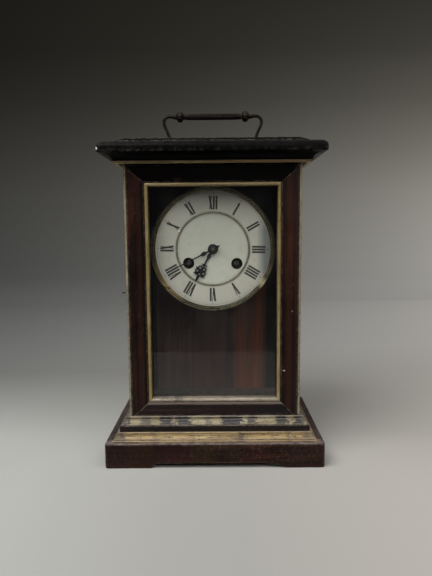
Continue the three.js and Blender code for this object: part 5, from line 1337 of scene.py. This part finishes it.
def tube_along(name, path, sides=16):
    """A tube along a path of (x, z, radius), in the XZ plane at the handle's depth."""
    rings = []
    last = len(path) - 1
    for i, (x, z, radius) in enumerate(path):
        x0, z0, _ = path[max(0, i - 1)]
        x1, z1, _ = path[min(last, i + 1)]
        along = Vector((x1 - x0, 0, z1 - z0)).normalized()
        across = along.cross(Vector((0, 1, 0)))
        ring = []
        for k in range(sides):
            a = 2 * math.pi * k / sides
            p = Vector((x, HANDLE_Y, z)) + across * radius * math.cos(a) + Vector((0, 1, 0)) * radius * math.sin(a)
            ring.append(tuple(p))
        rings.append(ring)
    return new_object(name, *loft(rings, [[0.5] * sides] * len(rings)))


def smooth_path(points, count):
    """Catmull-Rom through points, count steps per span."""
    out = []
    n = len(points)
    for i in range(n - 1):
        p0, p1, p2, p3 = (points[max(0, i - 1)], points[i], points[i + 1], points[min(n - 1, i + 2)])
        for k in range(count):
            t = k / count
            out.append(tuple(
                0.5 * (2 * p1[j] + (p2[j] - p0[j]) * t + (2 * p0[j] - 5 * p1[j] + 4 * p2[j] - p3[j]) * t * t
                       + (3 * p1[j] - p0[j] - 3 * p2[j] + p3[j]) * t ** 3) for j in range(len(p1))))
    out.append(tuple(points[-1]))
    return out


KNOB_X = 38.4                             # each knob's middle, from the middle of the handle


def handle_arm(side, name):
    """A curved arm with its foot on the crown and a collar at the knob. The shape is (outward, share of the
    handle's height, radius)."""
    rise = HANDLE_Z - CROWN_TOP
    shape = [(4.4, 1.0, 2.5), (5.6, 1.0, 2.6), (7.4, 1.006, 2.3), (10, 1.014, 2.0), (14.6, 1.008, 1.85),
             (18.2, 0.93, 1.85), (19.1, 0.8, 1.8), (17.6, 0.657, 1.75), (15.0, 0.497, 1.7), (13.2, 0.343, 1.75),
             (12.8, 0.2, 1.8), (13.6, 0.02, 2.0)]
    path = smooth_path([(side * (KNOB_X + x), CROWN_TOP + rise * z, r) for x, z, r in shape], 5)
    foot_profile = [(r, CROWN_TOP + z, w) for r, z, w in (
        (0.0, 0, 0), (3.9, 0, 0.5), (4.0, 0.4, 0.8), (3.6, 0.9, 0.8), (2.4, 1.2, 0.3), (1.9, 1.9, 0.2), (0.0, 2.2, 0))]
    collar_profile = [(r, side * (KNOB_X + x), w) for r, x, w in (
        (0.0, 4.5, 0), (2.7, 4.5, 0.6), (2.9, 5.0, 1), (2.7, 5.6, 0.6), (0.0, 5.6, 0))]
    return joined(name, [
        tube_along(name, path),
        lathe("foot", foot_profile, (side * (KNOB_X + 13.6), HANDLE_Y, 0), 28, axis="Z", closed=False),
        lathe("collar", collar_profile, (0, HANDLE_Y, HANDLE_Z), 24, axis="X", closed=False),
    ])


def handle_knob(side, name):
    """A knob with twelve flat sides, the same to both sides of its middle."""
    half = [(0.0, 4.4, 0), (3.2, 4.4, 0.3), (3.5, 4.15, 0.6), (3.1, 3.8, 0.2), (4.6, 3.3, 0.3), (5.8, 2.1, 0.6),
            (6.2, 0.8, 1)]
    profile = [(r, side * KNOB_X - x, w) for r, x, w in half] + [(r, side * KNOB_X + x, w) for r, x, w in half[::-1]]
    knob = lathe(name, profile, (0, HANDLE_Y, HANDLE_Z), 12, axis="X", closed=False)
    bevel = knob.modifiers.new("bevel", "BEVEL")
    bevel.width = 0.22 * MM
    bevel.segments = 2
    bevel.limit_method = "ANGLE"
    bevel.angle_limit = math.radians(20)
    for polygon in knob.data.polygons:
        polygon.use_smooth = False
    return knob


for make, piece in ((handle_arm, "handle_arm"), (handle_knob, "handle_knob")):
    for side, hand in HANDS:
        dress(make(side, f"{piece}_{hand}_bronze"), "case", handle_metal, "dark_brass", f"{piece}_{hand}")


def handle_grip():
    """A reeded bar with a small collar at each end."""
    half = 33.6
    reeds, per = 14, 6
    places = [(-half, 2.9, 0), (-half + 0.4, 3.3, 0), (-half + 1.3, 3.3, 0), (-half + 1.7, 2.9, 0),
              (-half + 2.2, 3.1, 0.3), (-half + 3.5, 3.45, 1), (-half + 12, 3.6, 1), (0, 3.7, 1)]
    places += [(-x, r, g) for x, r, g in reversed(places[:-1])]
    rings, wears = [], []
    for x, r, g in places:
        ring, worn = [], []
        for k in range(reeds * per):
            a = 2 * math.pi * k / (reeds * per)
            bump = abs(math.sin(reeds * a / 2))
            radius = r - 0.5 * g * (1 - bump) ** 1.5
            ring.append((x, HANDLE_Y + radius * math.cos(a), HANDLE_Z + radius * math.sin(a)))
            worn.append(bump ** 3 * g + (1 - g) * 0.5)
        rings.append(ring)
        wears.append(worn)
    return new_object("handle_grip_bronze", *loft(rings, wears), sharp=60)


dress(handle_grip(), "case", handle_metal, "dark_brass", "handle_grip")

# ------------------------------------------------------------------ finishes of the movement and the fittings

for names, material in (
    (("front_plate",), plate_dark),
    (("latch_pin", "latch_hook", "latch_screw"), dark_pin),
    (("back_plate", "pendulum_bob", "hinge_pin_upper", "hinge_pin_lower"), brass),
    (("time_barrel", "strike_barrel", "intermediate_wheel", "centre_wheel", "third_wheel", "fourth_wheel",
      "escape_wheel", "pin_wheel", "fly", "hour_wheel", "minute_wheel"), brass_wheel),
    (("movement_bracket", "gong_block", "pallet_anchor", "pendulum_rod", "hammer", "cannon_pinion"), steel),
    (("time_mainspring", "strike_mainspring", "gong_coil"), spring_steel),
    (("time_winding_arbor", "strike_winding_arbor"), arbor_steel),
):
    for name in names:
        paint(name, material)

# ------------------------------------------------------------------ stage


SIDEWAYS = (-1.6, 1.3)                    # the stage gets no darker or brighter beyond these


def gradient(n, base_stops, spread_stops, along, sideways, low, high, top_warmth=False):
    """A pale surface with painted light: it fades along one coordinate and brightens from left to right, as the light
    on a studio sweep does.
    """
    share = n.mask(along, low, high)
    sideways = n.math("MAXIMUM", n.math("MINIMUM", sideways, SIDEWAYS[1]), SIDEWAYS[0])
    level = n.ramp(share, [((v - low) / (high - low), c) for v, c in base_stops])
    spread = n.ramp(share, [((v - low) / (high - low), c) for v, c in spread_stops])
    factor = n.math("EXPONENT", n.times(sideways, spread))
    warm = n.mix(n.mask(sideways, -1.2, 1.2), (0.985, 1.0, 0.965), (1.03, 0.985, 0.92))
    if top_warmth:
        warm = n.mix(n.mask(along, low, high * 0.75), warm, (1.02, 0.955, 0.76))
    tinted = n.mix(1.0, level, warm, "MULTIPLY")
    scale = n.add("ShaderNodeVectorMath", operation="SCALE")
    n.link(tinted, scale.inputs[0])
    n.link(factor, scale.inputs["Scale"])
    return scale.outputs[0]


def sheet(name, points, faces):
    mesh = bpy.data.meshes.new(name)
    mesh.from_pydata(points, [], faces)
    return linked(name, mesh)


def looked_at(n, path):
    """1 for the rays that show a surface, and 0 for those that carry its light to other things."""
    seen = n.math("MAXIMUM", path.outputs["Is Camera Ray"], path.outputs["Is Glossy Ray"])
    return n.math("MAXIMUM", seen, path.outputs["Is Transmission Ray"])


STAGE_HALF, FLOOR_START, FLOOR_END = 9, -4, 1.2
floor = sheet("floor", [(-STAGE_HALF, FLOOR_START, 0), (STAGE_HALF, FLOOR_START, 0), (STAGE_HALF, FLOOR_END, 0),
                        (-STAGE_HALF, FLOOR_END, 0)], [(0, 1, 2, 3)])
n = Nodes("floor_paper")
path = n.add("ShaderNodeLightPath")
x, y = n.axis(0), n.axis(1)
sideways = n.math("DIVIDE", x, n.math("MAXIMUM", n.math("ADD", y, 0.585), 0.35))
sideways = n.math("MULTIPLY", sideways, 2.35)
FLOOR_LEVEL = [(-0.60, 0.06), (-0.535, 0.06), (-0.53, 0.25), (-0.36, 0.38), (-0.26, 0.475), (-0.15, 0.49),
               (-0.08, 0.505), (0.0, 0.525), (0.07, 0.49), (0.17, 0.41), (0.30, 0.33), (0.45, 0.33), (0.55, 0.347),
               (1.2, 0.347)]
FLOOR_SPREAD = [(-0.6, 0.0), (0.02, 0.0), (0.3, 0.37), (0.5, 0.44), (0.6, 0.0), (1.2, 0.0)]
colour = gradient(n, FLOOR_LEVEL, FLOOR_SPREAD, y, sideways, -0.6, FLOOR_END)
aside = n.math("ABSOLUTE", x)
# Painted shade on the floor just in front of the clock.
painted_shade_before_clock = n.times(n.mask(aside, 0.2, 0.03), n.mask(y, -0.02, -0.1), 0.17)
colour = n.mix(painted_shade_before_clock, colour, (0.02, 0.02, 0.02))
# Painted shadow: the floor beneath the clock, seen through the plinth's arch, is painted near black.
plinth_edge = plinth_low[1] * MM
under = n.times(n.mask(aside, 0.112, 0.106), n.mask(y, plinth_edge + 0.007, plinth_edge + 0.0095),
                n.mask(y, 0.075, 0.065))
colour = n.mix(under, colour, (0.008, 0.008, 0.008))
# To the camera the floor in front is pale. Only other rays, such as the glass's reflection, meet its dark front end,
# painted dark so that the reflection in the glass stops at a line.
colour = n.mix(n.times(n.mask(y, -0.24, -0.4), path.outputs["Is Camera Ray"]), colour, (0.465, 0.465, 0.445))
n.finish(colour, 0.85, specular=0.15)
# Where it is seen beyond 0.2 m, the floor glows with this painted gradient.
FAR_LEVEL = [(0.2, 0.26), (0.55, 0.221), (0.88, 0.197), (1.2, 0.170)]
FAR_SPREAD = [(0.2, 0.22), (0.55, 0.40), (0.88, 0.506), (1.2, 0.59)]
far = n.plain_shader("ShaderNodeEmission", gradient(n, FAR_LEVEL, FAR_SPREAD, y, sideways, 0.2, FLOOR_END))
floor.data.materials.append(
    n.show(n.choose(n.times(n.mask(y, 0.2, 0.5), looked_at(n, path)), n.shader.outputs[0], far)))

SWEEP = [(FLOOR_END, 0.0), (1.5, 0.03), (1.75, 0.12), (1.95, 0.3), (2.05, 0.55), (2.1, 0.9), (2.1, 3.2)]
backdrop = sheet(
    "backdrop", [(x, y, z) for x in (-STAGE_HALF, STAGE_HALF) for y, z in SWEEP],
    [(k, k + 1, len(SWEEP) + k + 1, len(SWEEP) + k) for k in range(len(SWEEP) - 1)])
for polygon in backdrop.data.polygons:
    polygon.use_smooth = True
n = Nodes("backdrop_paper")
WALL_LEVEL = [(0.0, 0.167), (0.055, 0.142), (0.25, 0.128), (0.45, 0.111), (0.70, 0.073), (0.95, 0.043), (1.2, 0.0255),
              (1.8, 0.012)]
WALL_SPREAD = [(0.0, 0.78), (0.055, 0.88), (0.25, 0.84), (1.1, 0.71), (1.45, 0.51), (1.8, 0.5)]
colour = gradient(n, WALL_LEVEL, WALL_SPREAD, n.axis(2), n.math("MULTIPLY", n.axis(0), 0.9), 0.0, 1.8, top_warmth=True)
# The backdrop glows with the painted gradient where it is seen; lamps and bounces meet dark grey paper.
glow = n.plain_shader("ShaderNodeEmission", colour)
paper = n.plain_shader("ShaderNodeBsdfDiffuse", (0.12, 0.12, 0.12))
backdrop.data.materials.append(n.show(n.choose(looked_at(n, n.add("ShaderNodeLightPath")), paper, glow)))


def softbox(name, place, target, size, power, colour):
    light = bpy.data.lights.new(name, "AREA")
    light.shape = "RECTANGLE"
    light.size, light.size_y = size
    light.energy = power
    light.color = colour
    direction = Vector(target) - Vector(place)
    turn = direction.to_track_quat("-Z", "Y").to_matrix().to_4x4()
    linked(name, light).matrix_world = Matrix.Translation(place) @ turn


softbox("key_light", (-0.62, -0.62, 1.48), (0, 0, 0.16), (1.15, 1.05), 23.5, (1.0, 0.995, 0.975))
softbox("fill_light", (0.85, -0.45, 1.45), (0, 0, 0.16), (1.1, 1.1), 8.0, (1.0, 0.98, 0.95))
softbox("front_light", (0.30, -1.55, 1.10), (0, 0, 0.2), (0.9, 0.8), 6.0, (1.0, 0.99, 0.96))

# The room beyond the stage: a dim grey for light, a paler one where the camera sees it.
world = bpy.data.worlds.new("studio")
bpy.context.scene.world = world
world.use_nodes = True
tree = world.node_tree
dim = tree.nodes["Background"]
dim.inputs["Color"].default_value = (0.5, 0.5, 0.5, 1)
dim.inputs["Strength"].default_value = 0.07
seen_world = tree.nodes.new("ShaderNodeBackground")
seen_world.inputs["Color"].default_value = (0.17, 0.17, 0.165, 1)
world_path = tree.nodes.new("ShaderNodeLightPath")
world_mix = tree.nodes.new("ShaderNodeMixShader")
for source, slot in zip((world_path.outputs["Is Camera Ray"], dim.outputs[0], seen_world.outputs[0]), world_mix.inputs):
    tree.links.new(source, slot)
tree.links.new(world_mix.outputs[0], tree.nodes["World Output"].inputs["Surface"])

bpy.context.scene.view_settings.view_transform = "Standard"
